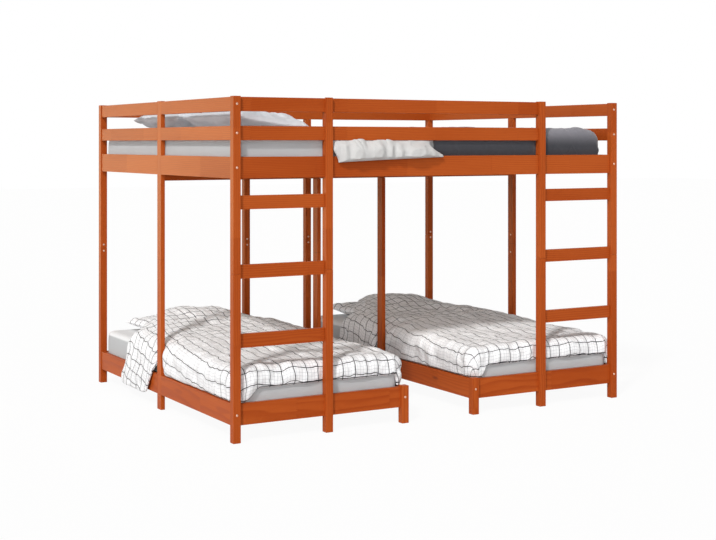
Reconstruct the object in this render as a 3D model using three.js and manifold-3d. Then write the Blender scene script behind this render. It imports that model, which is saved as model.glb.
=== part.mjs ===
// Triple bunk bed: two single beds side by side below one wide bed, with a ladder at each front corner.
// Millimetres, +X to the right along the front, +Y to the back, +Z up.
// The origin is on the floor, in the middle of the frame.
import * as THREE from 'three';
import { mergeVertices } from 'three/addons/utils/BufferGeometryUtils.js';
import Module from 'manifold-3d';

const wasm = await Module();
wasm.setup();

// The sleeping places set the frame's length and depth
const upperBedLength = 2000;
const lowerMattressWidth = 800;
const mattressDepth = 1600;
const mattressHeight = 146;
const sidePlay = 3;
const endPlay = 6;

// How much shorter the upper mattress is than its sleeping place, which leaves room for the quilt's end
const footSpare = 80;

// Timber sections
const postSize = 34;
const boardThick = 20;
const boardWide = 48;
const railThick = 20;
const guardRailHeight = 60;
const bedRailHeight = 90;
const rungHeight = 58;
const beamWide = 34;
const ledgeWide = 20;

// How far a rail lies behind the outer face of the posts
const endRecess = 4;

// Heights above the floor
const postSeam = 700;
const upperBedRailBottom = 1097;
const lowGuardGap = 69;
const highGuardGap = 61;
const topRailDrop = 3;
const upperLedgeHeight = 12;
const beamHeight = 41;
const lowerBedRailBottom = 71;
const lowerLedgeRise = 20;
const lowerLedgeHeight = 20;
const footPostStand = 6;
const firstRungBottom = 392;
const rungPitch = 288;
const rungCount = 3;

// Ladder bay, from the frame's end to the far face of the ladder post
const ladderBay = 470;

// Joints
const fit = 0.3;
const tenonThick = 10;
const tenonInset = 9;
const tenonLong = 12;
const spigotLong = 45;
const spigotWall = 9;
const boltRadius = 5.5;
const boltSink = 3;
const boltSides = 12;
const seamBoltRise = 16;
const boardBoltRise = 47;

// Slats
const slatWide = 60;
const slatThick = 12;
const slatEndPlay = 3;
const upperSlatCount = 17;
const lowerSlatCount = 13;
const tapeWide = 25;
const tapeStand = 1;
const tapeInset = 170;

// Soft pieces
const mattressEdge = 30;
const layGap = 0.6;
const clothGap = 2;
const lowerPillow = { across: 540, along: 400, high: 92, fromHead: 42, off: -55 };
const upperPillow = { along: 400, across: 620, high: 118, tilt: 0.13, fromEnd: 16 };
const upperPillowFromFront = 85;
const upperPillowGap = 12;
const hump = { halfAcross: 370, toFoot: 420, toHead: 340 };
const pillowSeam = 5;
const duvet = { loft: 30, hem: 16, sideDrop: 92, footDrop: 56, fromHead: 60 };
const duvetPuff = { high: 42, fullAt: 1060, fromEdge: 6 };
const duvetCorner = { back: 336, from: 0.18 };
const flap = { fromBoard: 8, long: 463, hemLean: 73, headLean: 85, belowRail: 9 };
const flapCloth = { thick: 13, off: 5, lap: 90, rise: 7 };
const quilt = { loft: 42, hem: 17, sideDrop: 72, reach: 913, underFold: 30 };
const fold = { reach: 560, thick: 24, leftDrop: 27, rightDrop: 6, depth: 900, puff: 11 };

// Sizes that follow from the ones above
const frontRecess = postSize - railThick;
const frameLength = upperBedLength + 2 * (sidePlay + railThick + endRecess);
const frameDepth = mattressDepth + 2 * (endPlay + postSize);
const lowerBedWide = lowerMattressWidth + 2 * (sidePlay + railThick + endRecess);
const midRailBottom = upperBedRailBottom + bedRailHeight + lowGuardGap;
const topRailBottom = midRailBottom + guardRailHeight + highGuardGap;
const postTop = topRailBottom + guardRailHeight + topRailDrop;
const footPostTop = lowerBedRailBottom + bedRailHeight + footPostStand;
const lowerLedgeBottom = lowerBedRailBottom + lowerLedgeRise;
const upperLedgeTop = upperBedRailBottom + upperLedgeHeight;
const lowerLedgeTop = lowerLedgeBottom + lowerLedgeHeight;
const beamBottom = upperLedgeTop - beamHeight;
const slatRise = fit + slatThick + tapeStand + fit;
const upperMattressBottom = upperLedgeTop + slatRise;
const lowerMattressBottom = lowerLedgeTop + slatRise;
const upperMattressTop = upperMattressBottom + mattressHeight;
const lowerMattressTop = lowerMattressBottom + mattressHeight;
const postInner = postSize;
const backInner = frameDepth - postSize;
const middle = frameDepth / 2;
const railOuter = endRecess;
const railInner = endRecess + railThick;
const upperHeadX = railInner + sidePlay - frameLength / 2;
const upperFootX = upperHeadX + upperBedLength - footSpare;
const quiltHeadX = upperFootX - mattressEdge - quilt.reach;

const LEFT = -1;
const RIGHT = 1;

const wood = { color: 0xb5592b, roughness: 0.55, metalness: 0 };
const slatWood = { color: 0xd8b98a, roughness: 0.7, metalness: 0 };
const ticking = { color: 0xb9b9b7, roughness: 0.9, metalness: 0 };
const checkCloth = { color: 0xe9e9ea, roughness: 0.9, metalness: 0 };
const paleCloth = { color: 0xd3d6da, roughness: 0.9, metalness: 0 };
const darkCloth = { color: 0x4b4c52, roughness: 0.9, metalness: 0 };

// Places

// x at a distance from the outer face of the left or right end.
function xFrom(side, distance) {
  return side * (frameLength / 2 - distance);
}

// y at a distance from the front face.
function yFrom(distance) {
  return distance - frameDepth / 2;
}

function boxOf(xs, ys, zs) {
  const low = new THREE.Vector3(Math.min(...xs), Math.min(...ys), Math.min(...zs));
  const high = new THREE.Vector3(Math.max(...xs), Math.max(...ys), Math.max(...zs));
  return new THREE.Box3(low, high);
}

// A box given from one end of the frame and from the front.
function endBox(side, fromEnd, fromFront, zs) {
  const xs = fromEnd.map((distance) => xFrom(side, distance));
  const ys = fromFront.map(yFrom);
  return boxOf(xs, ys, zs);
}

function grown(box, by) {
  return box.clone().expandByScalar(by);
}

// Shapes

function blockGeometry(box) {
  const size = box.getSize(new THREE.Vector3());
  const centre = box.getCenter(new THREE.Vector3());
  return new THREE.BoxGeometry(size.x, size.y, size.z).translate(centre.x, centre.y, centre.z);
}

// A round counterbore whose axis is along x or y and whose mouth is centred on the given point.
function counterbore(mouth, axis) {
  const reach = boltSink * 2;
  const hole = new THREE.CylinderGeometry(boltRadius, boltRadius, reach, boltSides);
  if (axis === 'x') {
    hole.rotateZ(Math.PI / 2);
  }
  return hole.translate(mouth.x, mouth.y, mouth.z);
}

function toSolid(geometry) {
  const plain = geometry.clone();
  plain.deleteAttribute('normal');
  plain.deleteAttribute('uv');
  const merged = mergeVertices(plain);
  const mesh = new wasm.Mesh({
    numProp: 3,
    vertProperties: new Float32Array(merged.attributes.position.array),
    triVerts: new Uint32Array(merged.index.array),
  });
  return new wasm.Manifold(mesh);
}

function toGeometry(solid) {
  const mesh = solid.getMesh();
  const geometry = new THREE.BufferGeometry();
  geometry.setAttribute('position', new THREE.BufferAttribute(mesh.vertProperties, 3));
  geometry.setIndex(new THREE.BufferAttribute(mesh.triVerts, 1));
  return geometry;
}

// A closed solid between two surfaces over the same square of (u, v), joined round its rim.
function sheetGeometry(outer, inner, columns, rows) {
  const points = [];
  const faces = [];
  const perLayer = (columns + 1) * (rows + 1);
  const at = (layer, column, row) => layer * perLayer + row * (columns + 1) + column;
  const quad = (a, b, c, d) => faces.push(a, b, c, a, c, d);
  for (const surface of [outer, inner]) {
    for (let row = 0; row <= rows; row += 1) {
      for (let column = 0; column <= columns; column += 1) {
        points.push(...surface(column / columns, row / rows).toArray());
      }
    }
  }
  for (let row = 0; row < rows; row += 1) {
    for (let column = 0; column < columns; column += 1) {
      quad(at(0, column, row), at(0, column + 1, row), at(0, column + 1, row + 1), at(0, column, row + 1));
      quad(at(1, column, row), at(1, column, row + 1), at(1, column + 1, row + 1), at(1, column + 1, row));
    }
  }
  for (let column = 0; column < columns; column += 1) {
    quad(at(0, column, 0), at(1, column, 0), at(1, column + 1, 0), at(0, column + 1, 0));
    quad(at(0, column, rows), at(0, column + 1, rows), at(1, column + 1, rows), at(1, column, rows));
  }
  for (let row = 0; row < rows; row += 1) {
    quad(at(0, 0, row), at(0, 0, row + 1), at(1, 0, row + 1), at(1, 0, row));
    quad(at(0, columns, row), at(1, columns, row), at(1, columns, row + 1), at(0, columns, row + 1));
  }
  const geometry = new THREE.BufferGeometry();
  geometry.setAttribute('position', new THREE.Float32BufferAttribute(points, 3));
  geometry.setIndex(faces);
  return geometry;
}

// Pieces

function meshOf(name, geometry, finish) {
  geometry.computeBoundingBox();
  const centre = geometry.boundingBox.getCenter(new THREE.Vector3());
  geometry.translate(-centre.x, -centre.y, -centre.z);
  geometry.computeVertexNormals();
  const mesh = new THREE.Mesh(geometry, new THREE.MeshStandardMaterial(finish));
  mesh.name = name;
  mesh.position.copy(centre);
  return mesh;
}

// One length of timber: a block with the tenons it carries and the mortises and notches cut in it.
class Timber {
  constructor(name, box, finish = wood) {
    this.name = name;
    this.box = box;
    this.finish = finish;
    this.extras = [];
    this.cuts = [];
  }

  add(geometry) {
    this.extras.push(geometry);
  }

  cut(geometry) {
    geometry.computeBoundingBox();
    const reaches = [this.box, ...this.extras.map((extra) => extra.boundingBox ?? this.box)];
    if (reaches.some((reach) => reach.intersectsBox(geometry.boundingBox))) {
      this.cuts.push(geometry);
    }
  }

  build() {
    let solid = toSolid(blockGeometry(this.box));
    for (const extra of this.extras) {
      solid = solid.add(toSolid(extra));
    }
    for (const cut of this.cuts) {
      solid = solid.subtract(toSolid(cut));
    }
    return meshOf(this.name, toGeometry(solid), this.finish);
  }
}

// A full-height post in two lengths, the upper one with a spigot let into the lower one.
class SplicedPost {
  constructor(name, side, fromEnd, fromFront) {
    this.box = endBox(side, fromEnd, fromFront, [0, postTop]);
    const lowerBox = this.box.clone();
    lowerBox.max.z = postSeam;
    const upperBox = this.box.clone();
    upperBox.min.z = postSeam + fit;
    this.lower = new Timber(`${name}_lower`, lowerBox);
    this.upper = new Timber(`${name}_upper`, upperBox);
    const spigot = this.box.clone().expandByVector(new THREE.Vector3(-spigotWall, -spigotWall, 0));
    spigot.min.z = postSeam - spigotLong;
    spigot.max.z = postSeam + fit + spigotWall;
    this.upper.add(blockGeometry(spigot));
    const socket = grown(spigot, fit);
    socket.max.z = postSeam + fit + spigotWall;
    this.lower.cut(blockGeometry(socket));
  }

  cut(geometry) {
    this.lower.cut(geometry);
    this.upper.cut(geometry);
  }

  pieces() {
    return [this.lower, this.upper];
  }
}

class WholePost extends Timber {
  pieces() {
    return [this];
  }
}

// Tenon on one end of a rail along x or y, and the mortise that takes it.
function tenon(rail, axis, direction, post) {
  const stub = rail.box.clone();
  const across = axis === 'x' ? 'y' : 'x';
  const cheek = (railThick - tenonThick) / 2;
  stub.min.z += tenonInset;
  stub.max.z -= tenonInset;
  stub.min[across] += cheek;
  stub.max[across] -= cheek;
  const shoulder = direction > 0 ? rail.box.max[axis] : rail.box.min[axis];
  stub.min[axis] = Math.min(shoulder - direction * fit, shoulder + direction * tenonLong);
  stub.max[axis] = Math.max(shoulder - direction * fit, shoulder + direction * tenonLong);
  rail.add(blockGeometry(stub));
  post.cut(blockGeometry(grown(stub, fit)));
}

// Notch in a post for a rail that runs past it.
function notch(post, rail, openTop = false) {
  const gap = grown(rail.box, fit);
  if (openTop) {
    gap.max.z = post.box.max.z + fit;
  }
  post.cut(blockGeometry(gap));
}

// Halved crossing of a rail and a flat board that lie in the same plane, the board outside.
function halve(rail, board, side) {
  const share = board.box.clone().intersect(rail.box);
  const outerShare = share.clone();
  const innerShare = share.clone();
  const half = (share.min.x + share.max.x) / 2;
  if (side < 0) {
    outerShare.max.x = half;
    innerShare.min.x = half - fit;
  } else {
    outerShare.min.x = half;
    innerShare.max.x = half + fit;
  }
  rail.cut(blockGeometry(grown(outerShare, fit)));
  board.cut(blockGeometry(grown(innerShare, fit)));
}

function boltAt(post, x, y, z, axis) {
  post.cut(counterbore(new THREE.Vector3(x, y, z), axis));
}

// Levels of the rails round the upper bed
const upperLevels = [
  { name: 'top_rail', low: topRailBottom, high: topRailBottom + guardRailHeight },
  { name: 'mid_rail', low: midRailBottom, high: midRailBottom + guardRailHeight },
  { name: 'bed_rail', low: upperBedRailBottom, high: upperBedRailBottom + bedRailHeight },
];
const lowerLevel = { low: lowerBedRailBottom, high: lowerBedRailBottom + bedRailHeight };
const sideName = (side) => (side < 0 ? 'left' : 'right');
const frontEdge = [0, postSize];
const backEdge = [frameDepth - postSize, frameDepth];
const frontRailSpan = [frontRecess, postSize];
const backRailSpan = [frameDepth - postSize, frameDepth - frontRecess];
const boardSpan = [middle - boardWide / 2, middle + boardWide / 2];

// Posts of one half of the frame
function makePosts(side) {
  const name = sideName(side);
  const innerPost = [lowerBedWide - postSize, lowerBedWide];
  const innerBoard = [lowerBedWide - railInner, lowerBedWide - railOuter];
  return {
    front: new SplicedPost(`front_${name}_post`, side, [0, postSize], frontEdge),
    back: new SplicedPost(`back_${name}_post`, side, [0, postSize], backEdge),
    ladder: new SplicedPost(`${name}_ladder_post`, side, [ladderBay - postSize, ladderBay], frontEdge),
    end: new WholePost(
      `${name}_end_middle_post`,
      endBox(side, [railOuter, railInner], boardSpan, [0, postTop]),
    ),
    inner: new WholePost(`${name}_bed_back_post`, endBox(side, innerPost, backEdge, [0, postTop])),
    middle: new WholePost(
      `${name}_bed_middle_post`,
      endBox(side, innerBoard, boardSpan, [0, beamBottom - fit]),
    ),
    foot: new WholePost(`${name}_bed_foot_post`, endBox(side, innerPost, frontEdge, [0, footPostTop])),
  };
}

// Rails of one lower bed, with the ledges that carry its slats
function makeLowerRails(side, posts) {
  const name = sideName(side);
  const acrossBed = [postSize + fit, lowerBedWide - postSize - fit];
  const alongBed = [postInner + fit, backInner - fit];
  const innerRail = [lowerBedWide - railInner, lowerBedWide - railOuter];
  const level = [lowerLevel.low, lowerLevel.high];
  const ledgeLevel = [lowerLedgeBottom, lowerLedgeTop];
  const ledgeAlong = [postInner + ledgeWide, backInner - ledgeWide];
  const footRail = new Timber(`${name}_bed_foot_rail`, endBox(side, acrossBed, frontRailSpan, level));
  const headRail = new Timber(`${name}_bed_head_rail`, endBox(side, acrossBed, backRailSpan, level));
  const outer = new Timber(`${name}_bed_outer_rail`, endBox(side, [railOuter, railInner], alongBed, level));
  const inner = new Timber(`${name}_bed_inner_rail`, endBox(side, innerRail, alongBed, level));
  outer.add(blockGeometry(endBox(side, [railInner - fit, railInner + ledgeWide], ledgeAlong, ledgeLevel)));
  inner.add(blockGeometry(
    endBox(side, [innerRail[0] - ledgeWide, innerRail[0] + fit], ledgeAlong, ledgeLevel),
  ));
  tenon(footRail, 'x', side, posts.front);
  tenon(footRail, 'x', -side, posts.foot);
  tenon(headRail, 'x', side, posts.back);
  tenon(headRail, 'x', -side, posts.inner);
  tenon(outer, 'y', -1, posts.front);
  tenon(outer, 'y', 1, posts.back);
  tenon(inner, 'y', -1, posts.foot);
  tenon(inner, 'y', 1, posts.inner);
  notch(posts.ladder, footRail);
  halve(outer, posts.end, side);
  halve(inner, posts.middle, -side);
  return [footRail, headRail, outer, inner];
}

// The three rails that close one end of the upper bed
function makeEndRails(side, posts) {
  return upperLevels.map(({ name, low, high }) => {
    const span = [postInner + fit, backInner - fit];
    const rail = new Timber(
      `${sideName(side)}_end_${name}`,
      endBox(side, [railOuter, railInner], span, [low, high]),
    );
    tenon(rail, 'y', -1, posts.front);
    tenon(rail, 'y', 1, posts.back);
    halve(rail, posts.end, side);
    return rail;
  });
}

// The rails along the front; the guard rails stop at the right ladder, which leaves the way in
function makeFrontRails(left, right) {
  return upperLevels.map(({ name, low, high }) => {
    const isBedRail = name === 'bed_rail';
    const rightEnd = isBedRail ? postSize : ladderBay;
    const xs = [xFrom(LEFT, postSize + fit), xFrom(RIGHT, rightEnd + fit)];
    const rail = new Timber(`front_${name}`, boxOf(xs, frontRailSpan.map(yFrom), [low, high]));
    tenon(rail, 'x', -1, left.front);
    tenon(rail, 'x', 1, isBedRail ? right.front : right.ladder);
    notch(left.ladder, rail, name === 'top_rail');
    if (isBedRail) {
      notch(right.ladder, rail);
      rail.add(slatLedge(frontRailSpan[1], 1));
    }
    return rail;
  });
}

// The rails along the back, past the two inner back posts
function makeBackRails(left, right) {
  return upperLevels.map(({ name, low, high }) => {
    const xs = [xFrom(LEFT, postSize + fit), xFrom(RIGHT, postSize + fit)];
    const rail = new Timber(`back_${name}`, boxOf(xs, backRailSpan.map(yFrom), [low, high]));
    tenon(rail, 'x', -1, left.back);
    tenon(rail, 'x', 1, right.back);
    for (const posts of [left, right]) {
      notch(posts.inner, rail, name === 'top_rail');
    }
    if (name === 'bed_rail') {
      rail.add(slatLedge(backRailSpan[0], -1));
    }
    return rail;
  });
}

// Ledge on the inner face of an upper bed rail, which carries the slats' ends
function slatLedge(fromFront, inward) {
  const xs = [xFrom(LEFT, railInner + ledgeWide), xFrom(RIGHT, railInner + ledgeWide)];
  const ys = [fromFront - inward * fit, fromFront + inward * ledgeWide].map(yFrom);
  return blockGeometry(boxOf(xs, ys, [upperBedRailBottom, upperLedgeTop]));
}

// The beam under the middle of the upper slats, on the two lower beds' middle posts
function makeBeam(left, right) {
  const xs = [xFrom(LEFT, railInner + fit), xFrom(RIGHT, railInner + fit)];
  const ys = [middle - beamWide / 2, middle + beamWide / 2].map(yFrom);
  const beam = new Timber('centre_beam', boxOf(xs, ys, [beamBottom, upperLedgeTop]));
  for (const [posts, direction] of [[left, -1], [right, 1]]) {
    const end = direction > 0 ? beam.box.max.x : beam.box.min.x;
    const stubX = [end - direction * fit, end + direction * tenonLong];
    const stubZ = [beamBottom + tenonInset / 2, upperBedRailBottom - tenonInset];
    const stub = boxOf(stubX, ys.map((y, index) => y + (index === 0 ? tenonInset : -tenonInset)), stubZ);
    beam.add(blockGeometry(stub));
    posts.end.cut(blockGeometry(grown(stub, fit)));
    const pin = posts.middle.box.clone();
    const pinInset = new THREE.Vector3((boardThick - tenonThick) / 2, (boardWide - beamWide / 2) / 2, 0);
    pin.expandByVector(pinInset.negate());
    pin.min.z = posts.middle.box.max.z - fit;
    pin.max.z = beamBottom + tenonLong;
    posts.middle.add(blockGeometry(pin));
    beam.cut(blockGeometry(grown(pin, fit)));
  }
  return beam;
}

// Rungs between the corner post and the ladder post
function makeRungs(side, posts) {
  const rungs = [];
  for (let index = 0; index < rungCount; index += 1) {
    const low = firstRungBottom + index * rungPitch;
    const span = [postSize + fit, ladderBay - postSize - fit];
    const box = endBox(side, span, frontRailSpan, [low, low + rungHeight]);
    const rung = new Timber(`${sideName(side)}_ladder_rung_${index + 1}`, box);
    tenon(rung, 'x', side, posts.front);
    tenon(rung, 'x', -side, posts.ladder);
    rungs.push(rung);
  }
  return rungs;
}

// Sunk bolt heads: through the corner posts into the end rails, and at the splices
function boreBolts(side, posts) {
  const levels = [...upperLevels, lowerLevel].map(({ low, high }) => (low + high) / 2);
  const cornerX = xFrom(side, postSize / 2);
  const footX = xFrom(side, lowerBedWide - postSize / 2);
  const bedLevel = (lowerLevel.low + lowerLevel.high) / 2;
  for (const z of levels) {
    boltAt(posts.front, cornerX, yFrom(0), z, 'y');
    boltAt(posts.back, cornerX, yFrom(frameDepth), z, 'y');
  }
  boltAt(posts.foot, footX, yFrom(0), bedLevel, 'y');
  boltAt(posts.inner, footX, yFrom(frameDepth), bedLevel, 'y');
  for (const rise of [-seamBoltRise, seamBoltRise]) {
    boltAt(posts.front, cornerX, yFrom(postInner), postSeam + rise, 'y');
    boltAt(posts.back, cornerX, yFrom(backInner), postSeam + rise, 'y');
    boltAt(posts.inner, footX, yFrom(backInner), postSeam + rise, 'y');
    boltAt(posts.ladder, xFrom(side, ladderBay - postSize / 2), yFrom(postInner), postSeam + rise, 'y');
  }
  for (const rise of [-boardBoltRise, boardBoltRise]) {
    boltAt(posts.end, xFrom(side, railInner), yFrom(middle), postSeam + rise, 'x');
  }
}

// A slat base: evenly spaced slats held together by two woven tapes
function makeSlats(name, area, along, count, low) {
  const across = along === 'x' ? 'y' : 'x';
  const start = area.min[across];
  const pitch = (area.max[across] - start - slatWide) / (count - 1);
  let solid = null;
  for (let index = 0; index < count; index += 1) {
    const slat = area.clone();
    slat.min[across] = start + index * pitch;
    slat.max[across] = slat.min[across] + slatWide;
    slat.min.z = low;
    slat.max.z = low + slatThick;
    const piece = toSolid(blockGeometry(slat));
    solid = solid === null ? piece : solid.add(piece);
  }
  for (const end of [area.min[along] + tapeInset, area.max[along] - tapeInset - tapeWide]) {
    const tape = area.clone();
    tape.min[along] = end;
    tape.max[along] = end + tapeWide;
    tape.min[across] = start + slatWide / 2;
    tape.max[across] = area.max[across] - slatWide / 2;
    tape.min.z = low + slatThick - tapeStand;
    tape.max.z = low + slatThick + tapeStand;
    solid = solid.add(toSolid(blockGeometry(tape)));
  }
  return meshOf(name, toGeometry(solid), slatWood);
}

// Mattresses

// Places one of the evenly spaced lines of a block so that the outer ones bound its rounded edge.
function edgeLine(value, size, cells, shares) {
  const line = Math.round((value / size + 0.5) * cells);
  const fromEdge = Math.min(line, cells - line);
  const sign = line * 2 < cells ? -1 : 1;
  if (fromEdge < shares.length) {
    return sign * (size / 2 - mattressEdge * shares[fromEdge]);
  }
  const inner = shares.length - 1;
  const share = (line - inner) / (cells - 2 * inner);
  return (share - 0.5) * (size - 2 * mattressEdge * shares[inner]);
}

// A mattress: a block with rounded edges, its sides a little fuller at mid-height.
function mattressGeometry(box) {
  const size = box.getSize(new THREE.Vector3());
  const centre = box.getCenter(new THREE.Vector3());
  const cells = new THREE.Vector3(8, 8, 4);
  const block = new THREE.BoxGeometry(size.x, size.y, size.z, cells.x, cells.y, cells.z);
  block.deleteAttribute('normal');
  block.deleteAttribute('uv');
  const shape = mergeVertices(block);
  const place = shape.attributes.position;
  const core = size.clone().multiplyScalar(0.5).subScalar(mattressEdge);
  const point = new THREE.Vector3();
  for (let index = 0; index < place.count; index += 1) {
    point.fromBufferAttribute(place, index);
    point.x = edgeLine(point.x, size.x, cells.x, [0, 0.4, 1]);
    point.y = edgeLine(point.y, size.y, cells.y, [0, 0.4, 1]);
    point.z = edgeLine(point.z, size.z, cells.z, [0, 0.4]);
    const inner = point.clone().clamp(core.clone().negate(), core);
    const offset = point.clone().sub(inner);
    offset.setLength(mattressEdge);
    point.copy(inner).add(offset);
    place.setXYZ(index, point.x, point.y, point.z);
  }
  return shape.translate(centre.x, centre.y, centre.z);
}

function makeMattress(name, box) {
  return meshOf(name, mattressGeometry(box), ticking);
}

// Pillows

// Share of the full height over a pillow, from 1 in the middle to 0 at its seams.
function pillowCrown(u, v) {
  const over = Math.max(0, 1 - u * u);
  const along = Math.max(0, 1 - v * v);
  return Math.pow(over * along, 0.55);
}

// A pillow with its seam at mid-height, full in the middle, its sides drawn in between the corners.
function pillowGeometry(halfX, halfY, high) {
  const drawn = 0.05;
  const surface = (direction) => (s, t) => {
    const u = 2 * s - 1;
    const v = 2 * t - 1;
    const rise = pillowSeam + (high / 2 - pillowSeam) * pillowCrown(u, v);
    const x = halfX * u * (1 - drawn * (1 - v * v) * u * u);
    const y = halfY * v * (1 - drawn * (1 - u * u) * v * v);
    return new THREE.Vector3(x, y, direction * rise);
  };
  return sheetGeometry(surface(1), surface(-1), 8, 10);
}

// The pillow of a lower bed, larger all round by the clearance given.
function lowerPillowGeometry(side, clearance = 0) {
  const halfX = lowerPillow.across / 2 + clearance;
  const halfY = lowerPillow.along / 2 + clearance;
  const fromFront = backInner - endPlay - lowerPillow.fromHead - lowerPillow.along / 2;
  const z = lowerMattressTop + layGap + lowerPillow.high / 2;
  const geometry = pillowGeometry(halfX, halfY, lowerPillow.high + 2 * clearance);
  return geometry.translate(xFrom(side, lowerBedWide / 2) + lowerPillow.off, yFrom(fromFront), z);
}

function makeLowerPillow(side) {
  return meshOf(`${sideName(side)}_bed_pillow`, lowerPillowGeometry(side), checkCloth);
}

function makeUpperPillow(name, place) {
  const geometry = pillowGeometry(upperPillow.along / 2, upperPillow.across / 2, upperPillow.high);
  geometry.rotateY(upperPillow.tilt);
  geometry.computeBoundingBox();
  const fromFront = upperPillowFromFront + place * (upperPillow.across + upperPillowGap);
  const x = xFrom(LEFT, railInner + upperPillow.fromEnd) - geometry.boundingBox.min.x;
  const y = yFrom(fromFront + upperPillow.across / 2);
  const z = upperMattressTop + layGap - geometry.boundingBox.min.z;
  return meshOf(name, geometry.translate(x, y, z), paleCloth);
}

// Cloth that lies over a mattress

// Follows a rounded edge: past the flat reach the line turns down by a quarter circle, then falls.
function overEdge(distance, reach, radius) {
  const flat = reach - radius;
  const sign = Math.sign(distance);
  const past = Math.abs(distance) - flat;
  if (past <= 0) {
    return { out: distance, down: 0, turn: 0 };
  }
  const angle = Math.min(past / radius, Math.PI / 2);
  const fall = Math.max(0, past - radius * Math.PI / 2);
  return {
    out: sign * (flat + radius * Math.sin(angle)),
    down: radius * (1 - Math.cos(angle)) + fall,
    turn: sign * angle,
  };
}

// Distance along a cloth for a share of its grid lines, straight between the knots given.
function spread(share, knots) {
  const next = Math.max(1, knots.findIndex(([knot]) => share <= knot + 1e-9));
  const [fromShare, fromValue] = knots[next - 1];
  const [toShare, toValue] = knots[next];
  return fromValue + (toValue - fromValue) * (share - fromShare) / (toShare - fromShare);
}

function smooth(edge0, edge1, value) {
  const share = Math.min(1, Math.max(0, (value - edge0) / (edge1 - edge0)));
  return share * share * (3 - 2 * share);
}

// Height that the pillow below lifts a duvet by, with a long slope towards the foot.
function pillowLift(x, y) {
  const u = (x - lowerPillow.off) / hump.halfAcross;
  const v = y / (y < 0 ? hump.toFoot : hump.toHead);
  const over = Math.pow(Math.max(0, 1 - u * u), 0.7);
  const along = Math.pow(Math.max(0, 1 - v * v), 0.9);
  return (lowerPillow.high + clothGap) * over * along;
}

// How much fuller than its plain loft a duvet lies, most of all in front of the pillow.
function puffOver(x, fromFoot, lift) {
  const share = fromFoot / duvetPuff.fullAt;
  const along = smooth(0.1, 1, share) * (1 - 0.25 * smooth(1, 1.35, share));
  const across = 1 - Math.pow(Math.min(1, Math.abs(x) / (lowerMattressWidth / 2)), duvetPuff.fromEdge);
  return Math.cbrt(lift ** 3 + (duvetPuff.high * along * across) ** 3) - lift;
}

// A duvet drawn up over the pillow, its sides and its foot turned down over the mattress.
function duvetGeometry(side) {
  const radius = mattressEdge;
  const halfWide = lowerMattressWidth / 2 + layGap;
  const sideReach = halfWide - radius + radius * Math.PI / 2 + duvet.sideDrop - radius;
  const footY = -mattressDepth / 2 - layGap;
  const headY = mattressDepth / 2 - duvet.fromHead;
  const footRun = duvet.footDrop - radius + radius * Math.PI / 2 - radius;
  const pillowY = mattressDepth / 2 - lowerPillow.fromHead - lowerPillow.along / 2;
  const flat = halfWide - radius;
  const surface = (isOuter) => (s, t) => {
    const across = spread(s, [[0, -sideReach], [4 / 16, -flat], [12 / 16, flat], [1, sideReach]]);
    const leftShare = Math.max(0, -across / halfWide);
    const head = headY - duvetCorner.back * smooth(duvetCorner.from, 1, leftShare);
    const along = spread(t, [[0, footY - footRun], [4 / 17, footY + radius], [1, head]]);
    const x = overEdge(across, halfWide, radius);
    const y = overEdge(Math.min(0, along - footY - radius), 0.001 + radius, radius);
    const foot = along < footY + radius ? y : { out: 0, down: 0, turn: 0 };
    const down = Math.cbrt(x.down ** 3 + foot.down ** 3);
    const flatY = along < footY + radius ? footY + radius + foot.out : along;
    const lift = pillowLift(x.out, flatY - pillowY);
    const rim = Math.min(1, 4 * Math.min(s, 1 - s), 5 * t, 6 * (1 - t));
    const pleat = Math.sin(across / 61 + along / 190) * Math.sin(along / 83 - across / 240);
    const puff = puffOver(x.out, flatY - footY, lift);
    const loft = duvet.hem + (duvet.loft - duvet.hem + puff) * Math.sqrt(rim) + 5 * pleat * rim;
    const normal = new THREE.Vector3(Math.sin(x.turn), Math.sin(foot.turn), 0);
    normal.z = Math.cos(x.turn) * Math.cos(foot.turn) + 0.02;
    normal.normalize();
    const point = new THREE.Vector3(x.out, flatY, lowerMattressTop + layGap + lift - down);
    return isOuter ? point.addScaledVector(normal, loft) : point;
  };
  const geometry = sheetGeometry(surface(true), surface(false), 16, 17);
  return geometry.translate(xFrom(side, lowerBedWide / 2), 0, 0);
}

// The corner of a duvet that has slipped over the rail on its left and hangs beside it.
function flapGeometry(rail) {
  const turnRadius = mattressEdge + 4;
  const face = rail.box.min.x - flapCloth.off;
  const top = lowerMattressTop + layGap + flapCloth.rise;
  const bottom = lowerBedRailBottom - flap.belowRail;
  const from = boardSpan[1] + flap.fromBoard;
  const surface = (isOuter) => (s, t) => {
    const thick = isOuter ? flapCloth.thick : 0;
    const low = bottom + 10 * Math.sin(3 * t);
    const arcLong = turnRadius * Math.PI / 2;
    const total = flapCloth.lap + arcLong + top - turnRadius - low;
    const run = s * total;
    const angle = Math.min(Math.PI / 2, Math.max(0, (run - flapCloth.lap) / turnRadius));
    const fall = Math.max(0, run - flapCloth.lap - arcLong);
    const level = Math.max(0, flapCloth.lap - run);
    const radius = turnRadius + thick;
    const x = face + turnRadius + level - radius * Math.sin(angle);
    const z = top - turnRadius + radius * Math.cos(angle) - fall;
    const skew = smooth(0.35, 1, s);
    const start = from + flap.hemLean * skew;
    const end = from + flap.long - flap.headLean * (1 - skew);
    const fromFront = start + t * (end - start);
    const ripple = isOuter ? 4 * Math.sin(9 * t) * smooth(0.3, 0.8, s) : 0;
    return new THREE.Vector3(x - ripple, yFrom(fromFront), z);
  };
  return sheetGeometry(surface(false), surface(true), 12, 8);
}

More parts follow.
